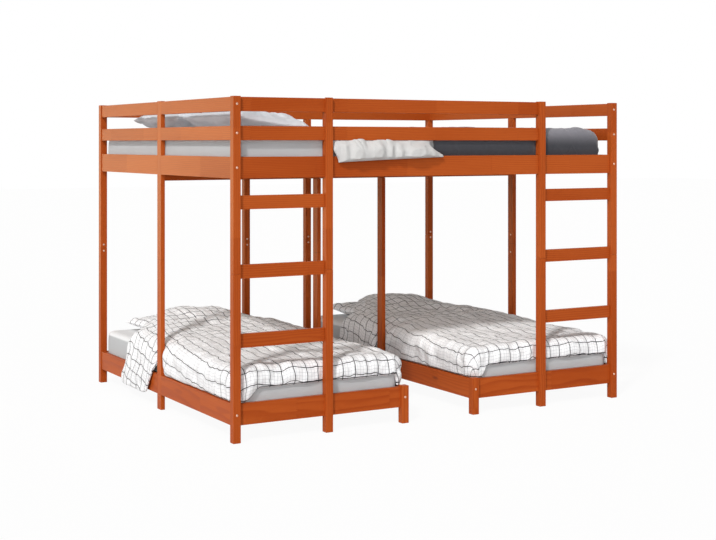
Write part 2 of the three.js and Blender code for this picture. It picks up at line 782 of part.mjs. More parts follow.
function makeDuvet(side, mattressBox, posts, rails) {
  let solid = toSolid(duvetGeometry(side));
  solid = solid.subtract(toSolid(mattressGeometry(grown(mattressBox, fit))));
  solid = solid.subtract(toSolid(lowerPillowGeometry(side, layGap)));
  const leftmost = rails.reduce((found, rail) => (rail.box.min.x < found.box.min.x ? rail : found));
  solid = solid.add(toSolid(flapGeometry(leftmost)));
  for (const post of Object.values(posts)) {
    solid = solid.subtract(toSolid(blockGeometry(grown(post.box, clothGap))));
  }
  for (const rail of rails) {
    solid = solid.subtract(toSolid(blockGeometry(grown(rail.box, layGap))));
  }
  return meshOf(`${sideName(side)}_bed_duvet`, toGeometry(solid), checkCloth);
}

// The quilt on the upper bed, turned down over the front, the back and the right end of the mattress.
function quiltGeometry() {
  const radius = mattressEdge;
  const halfDepth = mattressDepth / 2 + layGap;
  const fall = radius * Math.PI / 2 + quilt.sideDrop - radius;
  const flat = halfDepth - radius;
  const surface = (isOuter) => (s, t) => {
    const along = spread(s, [[0, 0], [11 / 15, quilt.reach], [1, quilt.reach + fall]]);
    const away = spread(t, [[0, -flat - fall], [4 / 16, -flat], [12 / 16, flat], [1, flat + fall]]);
    const y = overEdge(away, halfDepth, radius);
    const end = overEdge(Math.max(0, along - quilt.reach), radius, radius);
    const down = Math.cbrt(y.down ** 3 + end.down ** 3);
    const x = quiltHeadX + Math.min(along, quilt.reach) + end.out;
    const rim = Math.min(1, 7 * (1 - s), 5 * Math.min(t, 1 - t));
    const pleat = Math.sin(along / 97 + t * 9) * Math.sin(t * 21 - along / 310);
    const loft = quilt.hem + (quilt.loft - quilt.hem) * Math.sqrt(rim) + 5 * pleat * rim;
    const normal = new THREE.Vector3(Math.sin(end.turn), Math.sin(y.turn), 0);
    normal.z = Math.cos(end.turn) * Math.cos(y.turn) + 0.02;
    normal.normalize();
    const point = new THREE.Vector3(x, y.out, upperMattressTop + layGap - down);
    return isOuter ? point.addScaledVector(normal, loft) : point;
  };
  return sheetGeometry(surface(true), surface(false), 15, 16);
}

// The turned-back part of the quilt: a pale layer that bulges over the front bed rail.
function foldGeometry() {
  const rightX = quiltHeadX + quilt.underFold;
  const leftX = rightX - fold.reach;
  const top = upperMattressTop + 2 * layGap;
  const railTop = upperBedRailBottom + bedRailHeight;
  const railFace = frontRecess - clothGap;
  const turn = 30;
  const surface = (isOuter) => (s, t) => {
    const x = leftX + (rightX - leftX) * s;
    const low = railTop - fold.leftDrop + (fold.leftDrop - fold.rightDrop) * s;
    const start = endPlay + postSize + fold.depth;
    const path = new THREE.CatmullRomCurve3([
      new THREE.Vector3(0, start, top),
      new THREE.Vector3(0, endPlay + postSize + 3 * turn, top),
      new THREE.Vector3(0, endPlay + postSize + turn * 0.6, top),
      new THREE.Vector3(0, railFace + 0.4 * turn, railTop + 1.75 * turn),
      new THREE.Vector3(0, railFace - 0.1 * turn, railTop + 0.6 * turn),
      new THREE.Vector3(0, railFace - 1, low),
    ], false, 'centripetal');
    const share = Math.pow(t, 0.8);
    const point = path.getPoint(share);
    const tangent = path.getTangent(share);
    const rim = Math.min(1, 5 * Math.min(s, 1 - s), 6 * (1 - t));
    const puff = fold.puff * (0.5 + 0.5 * Math.sin(x / 46 + 5 * t)) * smooth(0.45, 0.8, t);
    const thick = isOuter ? 8 + (fold.thick - 8) * Math.sqrt(rim) + puff * rim : 0;
    const y = point.y + tangent.z * thick;
    const z = point.z - tangent.y * thick;
    return new THREE.Vector3(x, yFrom(y), z);
  };
  return sheetGeometry(surface(false), surface(true), 16, 14);
}

function makeQuilt(mattressBox, rails) {
  let solid = toSolid(quiltGeometry());
  solid = solid.add(toSolid(foldGeometry()));
  solid = solid.subtract(toSolid(mattressGeometry(grown(mattressBox, fit))));
  const posts = [left.ladder, right.ladder, left.inner, right.inner];
  for (const piece of [...posts, ...rails]) {
    solid = solid.subtract(toSolid(blockGeometry(grown(piece.box, clothGap / 2))));
  }
  return meshOf('upper_bed_quilt', toGeometry(solid), darkCloth);
}

// Assembly
function groupOf(name, meshes) {
  const group = new THREE.Group();
  group.name = name;
  group.add(...meshes);
  return group;
}

const left = makePosts(LEFT);
const right = makePosts(RIGHT);
const leftLowerRails = makeLowerRails(LEFT, left);
const rightLowerRails = makeLowerRails(RIGHT, right);
const endRails = [...makeEndRails(LEFT, left), ...makeEndRails(RIGHT, right)];
const frontRails = makeFrontRails(left, right);
const backRails = makeBackRails(left, right);
const beam = makeBeam(left, right);
const rungs = [...makeRungs(LEFT, left), ...makeRungs(RIGHT, right)];
boreBolts(LEFT, left);
boreBolts(RIGHT, right);

const postPieces = [left, right].flatMap(Object.values).flatMap((post) => post.pieces());
const upperTimbers = [...endRails, ...frontRails, ...backRails, beam];
const buildAll = (timbers) => timbers.map((timber) => timber.build());

function lowerBed(side, posts, rails) {
  const name = sideName(side);
  const sleeping = [railInner + sidePlay, lowerBedWide - railInner - sidePlay];
  const along = [postInner + endPlay, backInner - endPlay];
  const slatArea = endBox(
    side,
    [railInner + slatEndPlay, lowerBedWide - railInner - slatEndPlay],
    [postInner + ledgeWide, backInner - ledgeWide],
    [0, 1],
  );
  const mattressBox = endBox(side, sleeping, along, [lowerMattressBottom, lowerMattressTop]);
  return [
    ...buildAll(rails),
    makeSlats(`${name}_bed_slats`, slatArea, 'x', lowerSlatCount, lowerLedgeTop + fit),
    makeMattress(`${name}_bed_mattress`, mattressBox),
    makeLowerPillow(side),
    makeDuvet(side, mattressBox, posts, rails),
  ];
}

function upperBed() {
  const ends = [upperHeadX, upperFootX];
  const along = [postInner + endPlay, backInner - endPlay].map(yFrom);
  const slatArea = boxOf(
    [xFrom(LEFT, railInner + ledgeWide), xFrom(RIGHT, railInner + ledgeWide)],
    [postInner + slatEndPlay, backInner - slatEndPlay].map(yFrom),
    [0, 1],
  );
  const mattressBox = boxOf(ends, along, [upperMattressBottom, upperMattressTop]);
  return [
    ...buildAll(upperTimbers),
    makeSlats('upper_bed_slats', slatArea, 'y', upperSlatCount, upperLedgeTop + fit),
    makeMattress('upper_bed_mattress', mattressBox),
    makeUpperPillow('upper_bed_front_pillow', 0),
    makeUpperPillow('upper_bed_back_pillow', 1),
    makeQuilt(mattressBox, [...frontRails, ...backRails]),
  ];
}

const bed = new THREE.Group();
bed.name = 'triple_bunk_bed';
bed.add(groupOf('posts', buildAll(postPieces)));
bed.add(groupOf('left_lower_bed', lowerBed(LEFT, left, leftLowerRails)));
bed.add(groupOf('right_lower_bed', lowerBed(RIGHT, right, rightLowerRails)));
bed.add(groupOf('upper_bed', upperBed()));
bed.add(groupOf('ladders', buildAll(rungs)));

export default bed;
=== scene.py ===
"""Looks of the triple bunk bed: stained pine, slat bases, mattresses, pillows and covers over the frame.

Metres, +X to the right along the front, +Y to the back, +Z up, the origin on the floor in the middle.
"""
import sys
import logging
import math
from dataclasses import dataclass, replace
from enum import Enum
from typing import Optional, Sequence, Union

import bpy
import numpy as np
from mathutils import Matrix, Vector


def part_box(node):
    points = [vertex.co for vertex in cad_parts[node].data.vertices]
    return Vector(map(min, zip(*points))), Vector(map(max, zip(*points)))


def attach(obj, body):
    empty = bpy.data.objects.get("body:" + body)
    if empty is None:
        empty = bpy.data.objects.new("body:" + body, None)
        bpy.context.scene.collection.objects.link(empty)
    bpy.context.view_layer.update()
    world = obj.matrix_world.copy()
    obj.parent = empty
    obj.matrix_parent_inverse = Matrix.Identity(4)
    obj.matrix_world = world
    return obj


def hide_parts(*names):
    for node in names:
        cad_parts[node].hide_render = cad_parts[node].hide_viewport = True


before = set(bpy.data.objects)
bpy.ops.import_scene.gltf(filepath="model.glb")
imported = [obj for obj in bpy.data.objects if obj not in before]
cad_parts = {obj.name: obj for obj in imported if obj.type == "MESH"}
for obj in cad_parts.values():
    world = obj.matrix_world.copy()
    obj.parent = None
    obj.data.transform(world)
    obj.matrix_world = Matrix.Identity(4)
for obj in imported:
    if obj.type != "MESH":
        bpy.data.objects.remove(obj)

log = logging.getLogger("triple_bunk_bed")
Colour = tuple[float, float, float]
Array = np.ndarray

ROOT = "root"
BESIDE = 0.0006  # how far a cover's hanging part stays off the mattress's side


# Shader maths


class Line:
    """A value, colour or vector between shader nodes, with its maths written as Python expressions."""

    def __init__(self, shader: "Shader", socket: bpy.types.NodeSocket) -> None:
        """Wraps one output socket of a shader."""
        self.shader = shader
        self.socket = socket

    def __add__(self, other: "Value") -> "Line":
        """This value plus another."""
        return self.shader.maths("ADD", self, other)

    __radd__ = __add__

    def __sub__(self, other: "Value") -> "Line":
        """This value less another."""
        return self.shader.maths("SUBTRACT", self, other)

    def __rsub__(self, other: "Value") -> "Line":
        """Another value less this one."""
        return self.shader.maths("SUBTRACT", other, self)

    def __mul__(self, other: "Value") -> "Line":
        """This value times another."""
        return self.shader.maths("MULTIPLY", self, other)

    __rmul__ = __mul__

    def __truediv__(self, other: "Value") -> "Line":
        """This value over another."""
        return self.shader.maths("DIVIDE", self, other)

    def __pow__(self, power: "Value") -> "Line":
        """This value to a power."""
        return self.shader.maths("POWER", self, power)

    def __gt__(self, edge: "Value") -> "Line":
        """1 where this value is above the edge, else 0."""
        return self.shader.maths("GREATER_THAN", self, edge)

    def __lt__(self, edge: "Value") -> "Line":
        """1 where this value is below the edge, else 0."""
        return self.shader.maths("LESS_THAN", self, edge)

    def __abs__(self) -> "Line":
        """The size of this value without its sign."""
        return self.shader.maths("ABSOLUTE", self)

    def floor(self) -> "Line":
        """The whole number at or below this value."""
        return self.shader.maths("FLOOR", self)

    def fraction(self) -> "Line":
        """What is left of this value above its whole number."""
        return self.shader.maths("FRACT", self)

    def comb(self, pitch: float) -> "Line":
        """How far this value is from the middle of its stripe: 0 there, 0.5 at the stripe's edges."""
        return abs((self / pitch).fraction() - 0.5)

    def beside(self, output: Union[int, str]) -> "Line":
        """Another output of the node that gives this value."""
        return Line(self.shader, self.socket.node.outputs[output])

    def most(self, other: "Value") -> "Line":
        """The larger of this value and another."""
        return self.shader.maths("MAXIMUM", self, other)

    def rise(self, low: float, high: float) -> "Line":
        """A smooth climb from 0 at low to 1 at high, or down where low is the larger."""
        settings = {"interpolation_type": "SMOOTHSTEP"}
        if low <= high:
            return self.shader.node("ShaderNodeMapRange", settings, {0: self, 1: low, 2: high})
        return self.shader.node("ShaderNodeMapRange", settings, {0: self, 1: high, 2: low, 3: 1.0, 4: 0.0})


Value = Union[Line, float]


class Shader:
    """The node tree of one material or of the world, built through a single method that adds a node."""

    def __init__(self, name: str, world: Optional[bpy.types.World] = None) -> None:
        """Starts a material with its plain surface shader, or the world with its background."""
        self.material = world or bpy.data.materials.new(name)
        self.material.use_nodes = True
        self.tree = self.material.node_tree
        kind = "BACKGROUND" if world else "BSDF_PRINCIPLED"
        self.surface = next(node for node in self.tree.nodes if node.type == kind)

    def node(
        self,
        kind: str,
        settings: Optional[dict] = None,
        inputs: Optional[dict] = None,
        output: Union[int, str] = 0,
    ) -> Line:
        """Adds a node.

        Args:
            kind: the node's type.
            settings: its own settings, set first.
            inputs: values or links for its sockets, by name or place.
            output: which of its outputs is wanted.

        Returns:
            The wanted output.
        """
        made = self.tree.nodes.new(kind)
        for name, value in (settings or {}).items():
            setattr(made, name, value)
        for key, value in (inputs or {}).items():
            self.feed(made.inputs[key], value)
        return Line(self, made.outputs[output])

    def feed(self, socket: bpy.types.NodeSocket, value: Union[Value, Sequence[float]]) -> None:
        """Links or sets one input socket."""
        if isinstance(value, Line):
            self.tree.links.new(value.socket, socket)
        elif isinstance(value, (tuple, list)) and socket.type == "RGBA" and len(value) == 3:
            socket.default_value = (*value, 1.0)
        else:
            socket.default_value = value

    def maths(self, operation: str, *values: Value) -> Line:
        """A Math node on numbers."""
        return self.node("ShaderNodeMath", {"operation": operation}, dict(enumerate(values)))

    def vector(self, operation: str, *values: Union[Line, Sequence[float]]) -> Line:
        """A Vector Math node."""
        return self.node("ShaderNodeVectorMath", {"operation": operation}, dict(enumerate(values)))

    def blend(
        self, share: Value, first: Union[Line, Colour], second: Union[Line, Colour], mode: str = "MIX"
    ) -> Line:
        """Mixes two colours by a share from 0, the first, to 1, the second."""
        settings = {"data_type": "RGBA", "blend_type": mode}
        return self.node("ShaderNodeMix", settings, {0: share, 6: first, 7: second}, 2)

    def parts(self, line: Line) -> tuple[Line, Line, Line]:
        """The three numbers of a vector or colour."""
        first = self.node("ShaderNodeSeparateXYZ", None, {0: line})
        return tuple(first.beside(number) for number in range(3))

    def joined(self, x: Value, y: Value, z: Value) -> Line:
        """A vector from three numbers."""
        return self.node("ShaderNodeCombineXYZ", None, {0: x, 1: y, 2: z})

    def place(self) -> Line:
        """Where a point is on the object, in metres."""
        return self.node("ShaderNodeTexCoord", output="Object")

    def scaled(self, line: Line, scale: float) -> Line:
        """A vector stretched by a scale, the same along every axis."""
        return self.node("ShaderNodeMapping", None, {"Vector": line, "Scale": (scale,) * 3})

    def noise(self, where: Line, scale: float, detail: float = 2.0, rough: float = 0.5) -> Line:
        """Cloudy noise from 0 to 1."""
        values = {"Vector": where, "Scale": scale, "Detail": detail, "Roughness": rough}
        return self.node("ShaderNodeTexNoise", None, values)

    def bump(self, height: Line, depth: float, strength: float) -> Line:
        """A surface direction bent by a height from 0 to 1 over a depth in metres."""
        return self.node("ShaderNodeBump", None, {"Height": height, "Distance": depth, "Strength": strength})

    def finish(self, **sockets: Union[Value, Colour]) -> bpy.types.Material:
        """Feeds the surface shader's sockets, named with _ for a space, and hands over the material."""
        for name, value in sockets.items():
            self.feed(self.surface.inputs[name.replace("_", " ")], value)
        return self.material


# Finishes


class Grain(Enum):
    """Which way the grain of a length of timber runs."""

    ALONG_X = 0
    ALONG_Y = 1
    UPRIGHT = 2


@dataclass(frozen=True)
class Pine:
    """Finger-jointed pine: blocks glued end to end, each with its own rings, fibres and a rare knot.

    Lengths are in metres: a ring's width, a block's length, and a finger's length and pitch.
    """

    early: Colour
    late: Colour
    deep: Colour
    knot: Colour
    rough: float
    gloss: float
    ring: float = 0.0062
    block: float = 0.46
    finger: float = 0.009
    finger_pitch: float = 0.0085

    def material(
        self, name: str, grain: Grain, seed: int, seam: Optional[float] = None
    ) -> bpy.types.Material:
        """Makes the finish for one length of timber.

        Args:
            name: the material's name.
            grain: which way its grain runs.
            seed: which cut of the tree it is.
            seam: height of a joint line round an upright, where it has one.

        Returns:
            The material.
        """
        shader = Shader(name)
        base, rough, normal = self.layers(shader, grain, seed, seam)
        return shader.finish(
            Base_Color=base,
            Roughness=rough,
            Normal=normal,
            Specular_IOR_Level=self.gloss,
        )

    def layers(
        self, shader: Shader, grain: Grain, seed: int, seam: Optional[float]
    ) -> tuple[Line, Line, Line]:
        """Colour, roughness and surface direction of the timber.

        Each block has its own heart beside the timber. The rings are the whole numbers of the distance
        from it, bent by noise, over the ring's width, and stand darker towards their outer edge.

        Args:
            shader: the material's nodes.
            grain: which way the grain runs.
            seed: which cut of the tree it is.
            seam: height of a joint line round an upright, where it has one.

        Returns:
            The colour, the roughness and the surface direction.
        """
        chance = np.random.default_rng(seed)
        start, tall, wide = (float(value) for value in chance.uniform(0.2, 5.0, 3))
        axes = list(shader.parts(shader.place()))
        up = axes[2]
        along = axes.pop(grain.value) + start
        first, second = axes
        zigzag = (first + second).comb(self.finger_pitch) * (2 * self.finger)
        station = (along + zigzag) / self.block
        number = station.floor()
        glue = 0.5 - abs(station.fraction() - 0.5)
        pick = shader.node("ShaderNodeTexWhiteNoise", {"noise_dimensions": "1D"}, {"W": number + tall}, 1)
        turn_a, turn_b, tone = shader.parts(pick)
        lie = shader.joined(along * 1.6, first * 9.0 + wide, second * 9.0 + number * 0.37)
        warp = shader.noise(lie, 1.0, 2.0) - 0.5
        eye = self.knots(shader, along, first, second, wide)
        heart_a = first + (turn_a - 0.5) * 0.15
        heart_b = second + (turn_b - 0.5) * 0.15
        radius = (heart_a * heart_a + heart_b * heart_b) ** 0.5 + warp * 0.026 + eye * 0.02
        wave = (radius / self.ring).fraction()
        latewood = wave.rise(0.25, 0.86) * wave.rise(1.0, 0.9)
        hair = shader.joined(along * 13.0, first * 620.0, second * 620.0)
        fibre = shader.noise(hair, 1.0, 2.0, 0.6)
        cloud = shader.noise(shader.joined(along * 1.3, first * 7.0, second * 7.0), 1.0, 2.0)
        patch = shader.noise(shader.joined(along * 5.0, first * 34.0 + 3.0, second * 34.0), 1.0, 1.0)
        colour = shader.blend(latewood * (0.30 + 0.5 * patch), self.early, self.late)
        colour = shader.blend((fibre - 0.38) * 0.75, colour, self.late)
        colour = shader.blend(tone * 0.62 + cloud.rise(0.35, 0.75) * 0.5, colour, self.deep, "MULTIPLY")
        colour = shader.blend(eye, colour, self.knot)
        joint = glue.rise(0.0014, 0.0004)
        colour = shader.blend(joint * 0.45, colour, self.knot)
        height = latewood * 0.25 + fibre * 0.55 - joint * 0.5
        if seam is not None:
            line = abs(up - seam).rise(0.0006, 0.0002)
            colour = shader.blend(line * 0.85, colour, tuple(0.25 * part for part in self.knot))
            height = height - line * 2.5
        rough = self.rough + (fibre - 0.5) * 0.16 + latewood * -0.05
        return colour, rough, shader.bump(height, 0.0003, 0.5)

    @staticmethod
    def knots(shader: Shader, along: Line, first: Line, second: Line, shift: float) -> Line:
        """A rare knot: one cell in eight of a stretched cell pattern holds a round dark eye."""
        where = shader.joined(along / 0.26, first / 0.075 + shift, second / 0.075)
        values = {"Vector": where, "Scale": 1.0, "Randomness": 0.9}
        distance = shader.node("ShaderNodeTexVoronoi", None, values, "Distance")
        chosen = shader.parts(distance.beside("Color"))[0] > 0.87
        return distance.rise(0.17, 0.05) * chosen


STAINED = Pine(
    early=(0.452, 0.095, 0.0170),
    late=(0.326, 0.052, 0.0082),
    deep=(0.80, 0.66, 0.52),
    knot=(0.150, 0.026, 0.006),
    rough=0.40,
    gloss=0.06,
)
BARE = Pine(
    early=(0.760, 0.560, 0.330),
    late=(0.600, 0.380, 0.190),
    deep=(0.90, 0.82, 0.72),
    knot=(0.280, 0.120, 0.050),
    rough=0.62,
    gloss=0.35,
)


@dataclass(frozen=True)
class SlatPine:
    """Bare pine slats whose two woven tapes, ribbed along and across, are told apart by their place."""

    pine: Pine
    tape: Colour = (0.62, 0.61, 0.57)
    tape_shade: Colour = (0.45, 0.44, 0.41)
    rib: float = 0.0016
    weft: float = 0.0022

    def material(
        self, name: str, grain: Grain, seed: int, tapes: Sequence[tuple[float, float]], above: float
    ) -> bpy.types.Material:
        """Makes the finish for one slat base.

        Args:
            name: the material's name.
            grain: which way its slats run.
            seed: which cut of the tree they are.
            tapes: from where to where each tape lies along the slats.
            above: height over which a point in a tape's width is tape.

        Returns:
            The material.
        """
        shader = Shader(name)
        base, rough, normal = self.pine.layers(shader, grain, seed, None)
        axes = shader.parts(shader.place())
        along, across = axes[grain.value], axes[1 - grain.value]
        lying = axes[2] > above
        mask = lying * sum((along > low) * (along < high) for low, high in tapes)
        stripes = (along.comb(self.rib) + across.comb(self.weft)).rise(0.2, 0.8)
        cloth = shader.blend(stripes * 0.6, self.tape, self.tape_shade)
        weave = shader.bump(stripes, 0.0005, 0.6)
        turned = shader.node("ShaderNodeMix", {"data_type": "VECTOR"}, {0: mask, 4: normal, 5: weave}, 1)
        return shader.finish(
            Base_Color=shader.blend(mask, base, cloth),
            Roughness=rough + mask * 0.25,
            Normal=turned,
            Specular_IOR_Level=0.3,
        )


@dataclass(frozen=True)
class Ticking:
    """Knitted mattress cover: fine diamonds and rows, with painted shade: a grey multiplied over the sides
    between the seams.
    """

    ground: Colour = (0.760, 0.765, 0.770)
    shade: Colour = (0.610, 0.616, 0.622)
    # Painted shade: this grey darkens the sides between the seams, standing in for the shadow of the rails
    # and of the cover's overhang.
    border: Colour = (0.62, 0.63, 0.64)
    seam: float = 0.010
    diamond: float = 0.0034
    row: float = 0.0026

    def material(self, name: str, low: float, high: float) -> bpy.types.Material:
        """Makes the finish of a mattress.

        Args:
            name: the material's name.
            low: height of the lower seam, from which the painted shade of the sides runs up.
            high: height of the upper seam.

        Returns:
            The material.
        """
        shader = Shader(name)
        x, y, z = shader.parts(shader.place())
        diamonds = (x + y).comb(self.diamond) + (x - y + z * 2).comb(self.diamond)
        knit = (diamonds * 0.5 + z.comb(self.row)).rise(0.25, 0.8)
        wear = shader.noise(shader.place(), 6.0, 3.0)
        colour = shader.blend(knit * 0.35 + wear.rise(0.4, 0.8) * 0.2, self.ground, self.shade)
        # Painted shade: the sides between the seams are multiplied by the grey above.
        side = z.rise(low, low + self.seam) * z.rise(high, high - self.seam)
        colour = shader.blend(side, colour, self.border, "MULTIPLY")
        height = knit * 0.7 + wear * 0.6
        return shader.finish(
            Base_Color=colour,
            Roughness=0.88 - wear * 0.08,
            Normal=shader.bump(height, 0.0006, 0.7),
            Specular_IOR_Level=0.2,
        )


@dataclass(frozen=True)
class Crumple:
    """Creases of washed cotton: ridges where a bent noise crosses its middle, over small rumples.

    The scales of cloud, ridge and rumple say how many of them go into a metre.
    """

    cloud: float
    bend: float
    ridge: float
    rumple: float
    rumple_high: float
    weave_high: float

    def layers(self, shader: Shader, where: Line, weave: Line) -> tuple[Line, Line]:
        """Ridges and the whole height.

        Args:
            shader: the material's nodes.
            where: the place on the object.
            weave: height of the threads, from 0 to 1.

        Returns:
            The ridges alone, from 0 to 1, and the height with rumples and weave.
        """
        values = {"Vector": where, "Scale": self.cloud, "Detail": 1.0}
        cloud = shader.node("ShaderNodeTexNoise", None, values, 1)
        bent = shader.vector("ADD", where, shader.scaled(cloud, self.bend))
        ridges = 1 - abs(shader.noise(bent, self.ridge, 2.0, 0.45) - 0.5) * 2
        rumples = shader.noise(bent, self.rumple, 2.0)
        return ridges, ridges ** 3.0 * 0.8 + rumples * self.rumple_high + weave * self.weave_high


@dataclass(frozen=True)
class PlainCotton:
    """Plain woven cotton with soft creases."""

    ground: Colour
    shade: Colour
    sheen: float = 0.08
    thread: float = 0.0011
    crease: float = 0.0045
    # Painted light: a paler colour towards the top, reached between two heights, stands in for light from
    # above.
    lit_top: Optional[Colour] = None
    lit_top_from: tuple[float, float] = (1.225, 1.312)
    crumple: Crumple = Crumple(7.0, 0.08, 11.0, 46.0, rumple_high=0.22, weave_high=0.02)

    def material(self, name: str) -> bpy.types.Material:
        """Makes the finish, paler towards the top where it has a lit-top colour, painted light from above.

        Args:
            name: the material's name.

        Returns:
            The material.
        """
        shader = Shader(name)
        where = shader.place()
        x, y, z = shader.parts(where)
        weave = (x + z * 0.7).comb(self.thread) + (y + z * 0.7).comb(self.thread)
        ridges, height = self.crumple.layers(shader, where, weave)
        wear = shader.noise(where, 5.0, 3.0)
        # Painted shade: off the crease ridges the cloth mixes towards its shade colour, darker in the hollows
        # between creases.
        share = weave * 0.25 + wear.rise(0.35, 0.75) * 0.35 + (1 - ridges.rise(0.5, 1.0)) * 0.12
        colour = shader.blend(share, self.ground, self.shade)
        # Painted light: the cloth pales towards its top as if lit from above.
        if self.lit_top:
            colour = shader.blend(z.rise(*self.lit_top_from) * (1 - share * 0.4), colour, self.lit_top)
        return shader.finish(
            Base_Color=colour,
            Roughness=0.86 - wear * 0.06,
            Normal=shader.bump(height, self.crease, 0.55),
            Specular_IOR_Level=0.25,
            Sheen_Weight=self.sheen,
            Sheen_Roughness=0.5,
        )


@dataclass(frozen=True)
class CheckCotton:
    """White cotton with a drawn windowpane check: wavy black lines over a faint grey grid.

    A shift moves the check over the cloth. The faint places lie along the cloth, and those given here,
    9 m and more, are past the end of any cloth.
    """

    ground: Colour = (0.855, 0.858, 0.868)
    wash: Colour = (0.60, 0.61, 0.64)
    grid: Colour = (0.30, 0.31, 0.34)
    ink: Colour = (0.020, 0.020, 0.024)
    pane: float = 0.0600
    line: float = 0.0020
    fine: float = 0.0150
    hem: float = 0.006
    crease: float = 0.0048
    shift: tuple[float, float] = (0.0, 0.0)
    faint: tuple[float, float, float, float] = (9.0, 9.1, 9.2, 9.3)
    faintness: float = 0.75
    crumple: Crumple = Crumple(9.0, 0.07, 13.0, 52.0, rumple_high=0.25, weave_high=0.03)

    def material(self, name: str) -> bpy.types.Material:
        """Makes the finish, which reads the cloth's own UV in metres and its distance from the hem.

        From the first faint place to the second the lines across the cloth fade, and from the third to the
        fourth they come back.

        Args:
            name: the material's name.

        Returns:
            The material.
        """
        shader = Shader(name)
        cloth = shader.node("ShaderNodeUVMap", {"uv_map": "cloth"})
        across, along, _ = shader.parts(cloth)
        first, last = self.faint[:2], self.faint[2:]
        quiet = along.rise(*first) * along.rise(last[1], last[0]) * self.faintness
        across, along = across + self.shift[0], along + self.shift[1]
        hem = shader.node("ShaderNodeAttribute", {"attribute_name": "hem"}, output="Fac")
        sway_a = shader.noise(shader.joined(across * 3.0, along * 12.0, 0.3), 1.0, 2.0) - 0.5
        sway_b = shader.noise(shader.joined(across * 12.0, along * 3.0, 7.9), 1.0, 2.0) - 0.5
        kink = shader.noise(shader.joined(across * 17.0, along * 17.0, 3.3), 1.0, 1.0) - 0.5
        ink_a = self.stroke(shader, across + sway_a * 0.012 + kink * 0.012, along, 1.7)
        ink_b = self.stroke(shader, along + sway_b * 0.012 - kink * 0.014, across, 5.1) * (1 - quiet)
        fine_a = self.hairline(across + sway_b * 0.003)
        fine_b = self.hairline(along + sway_a * 0.003)
        border = abs(hem - self.hem).rise(0.0028, 0.0014)
        where = shader.place()
        weave = shader.noise(shader.joined(across * 900, along * 900, 0.0), 1.0, 1.0)
        stain = shader.noise(where, 4.0, 3.0)
        ground = shader.blend(weave * 0.10 + stain.rise(0.4, 0.8) * 0.12, self.ground, self.wash)
        ground = shader.blend(fine_a.most(fine_b) * 0.70, ground, self.grid)
        colour = shader.blend(ink_a.most(ink_b).most(border), ground, self.ink)
        _, height = self.crumple.layers(shader, where, weave)
        return shader.finish(
            Base_Color=colour,
            Roughness=0.87 - stain * 0.05,
            Normal=shader.bump(height, self.crease, 0.5),
            Specular_IOR_Level=0.22,
        )

    def stroke(self, shader: Shader, beside: Line, ahead: Line, shift: float) -> Line:
        """One family of drawn lines, each a pane apart, whose width and strength wander along it."""
        number = (beside / self.pane).floor()
        press = shader.noise(shader.joined(ahead * 5.0, number * 3.7 + shift, 0.0), 1.0, 3.0)
        away = beside.comb(self.pane) * self.pane
        width = self.line * (0.75 + press * 0.6)
        return (away / width).rise(1.15, 0.75) * press.rise(0.12, 0.38)

    def hairline(self, beside: Line) -> Line:
        """One family of faint fine lines."""
        return (beside.comb(self.fine) * self.fine).rise(0.0010, 0.0003)


@dataclass(frozen=True)
class BoltSteel:
    """Zinc-plated steel, faintly brushed."""

    metal: Colour = (0.760, 0.520, 0.400)
    shade: Colour = (0.48, 0.32, 0.25)

    def material(self, name: str) -> bpy.types.Material:
        """Makes the finish."""
        shader = Shader(name)
        brushed = shader.noise(shader.place(), 900.0, 2.0)
        return shader.finish(
            Base_Color=shader.blend(brushed * 0.4, self.metal, self.shade),
            Metallic=0.85,
            Roughness=0.34 + brushed * 0.14,
        )


PALE = PlainCotton(ground=(0.700, 0.725, 0.765), shade=(0.600, 0.620, 0.660))
FOLDED = PlainCotton(ground=(0.560, 0.555, 0.548), shade=(0.450, 0.448, 0.446), crease=0.0085)
DARK = PlainCotton(
    ground=(0.034, 0.035, 0.043),
    shade=(0.021, 0.022, 0.028),
    sheen=0.3,
    # Painted light: the quilt's top is paler, as if lit from above.
    lit_top=(0.215, 0.209, 0.234),
)


# Meshes


def smooth(low: float, high: float, value: Array) -> Array:
    """A smooth climb: 3 s squared less 2 s cubed, for the share s of the way from low to high."""
    share = np.clip((value - low) / (high - low), 0.0, 1.0)
    return share * share * (3 - 2 * share)


def shell_faces(rows: int, columns: int) -> Array:
    """Faces of two grids, the second the other's back, joined round their rims.

    Rows and columns run so that column step times row step points out of the first grid.

    Args:
        rows: rows of each grid.
        columns: points in a row.

    Returns:
        Four point numbers for each face.
    """
    index = np.arange(rows * columns).reshape(rows, columns)
    near, far = index[:-1, :-1], index[1:, 1:]
    beside, above = index[:-1, 1:], index[1:, :-1]
    front = np.stack((near, beside, far, above), -1).reshape(-1, 4)
    back = front[:, ::-1] + rows * columns
    ring = np.concatenate((index[0, :-1], index[:-1, -1], index[-1, :0:-1], index[:0:-1, 0]))
    following = np.roll(ring, -1)
    rim = np.stack((following, ring, ring + rows * columns, following + rows * columns), -1)
    return np.concatenate((front, back, rim))


def tube_faces(rows: int, columns: int, first: int = 0) -> Array:
    """Faces of a grid whose rows close on themselves, numbered from a first point."""
    index = first + np.arange(rows * columns).reshape(rows, columns)
    beside = np.roll(index, -1, axis=1)
    return np.stack((index[:-1], beside[:-1], beside[1:], index[1:]), -1).reshape(-1, 4)


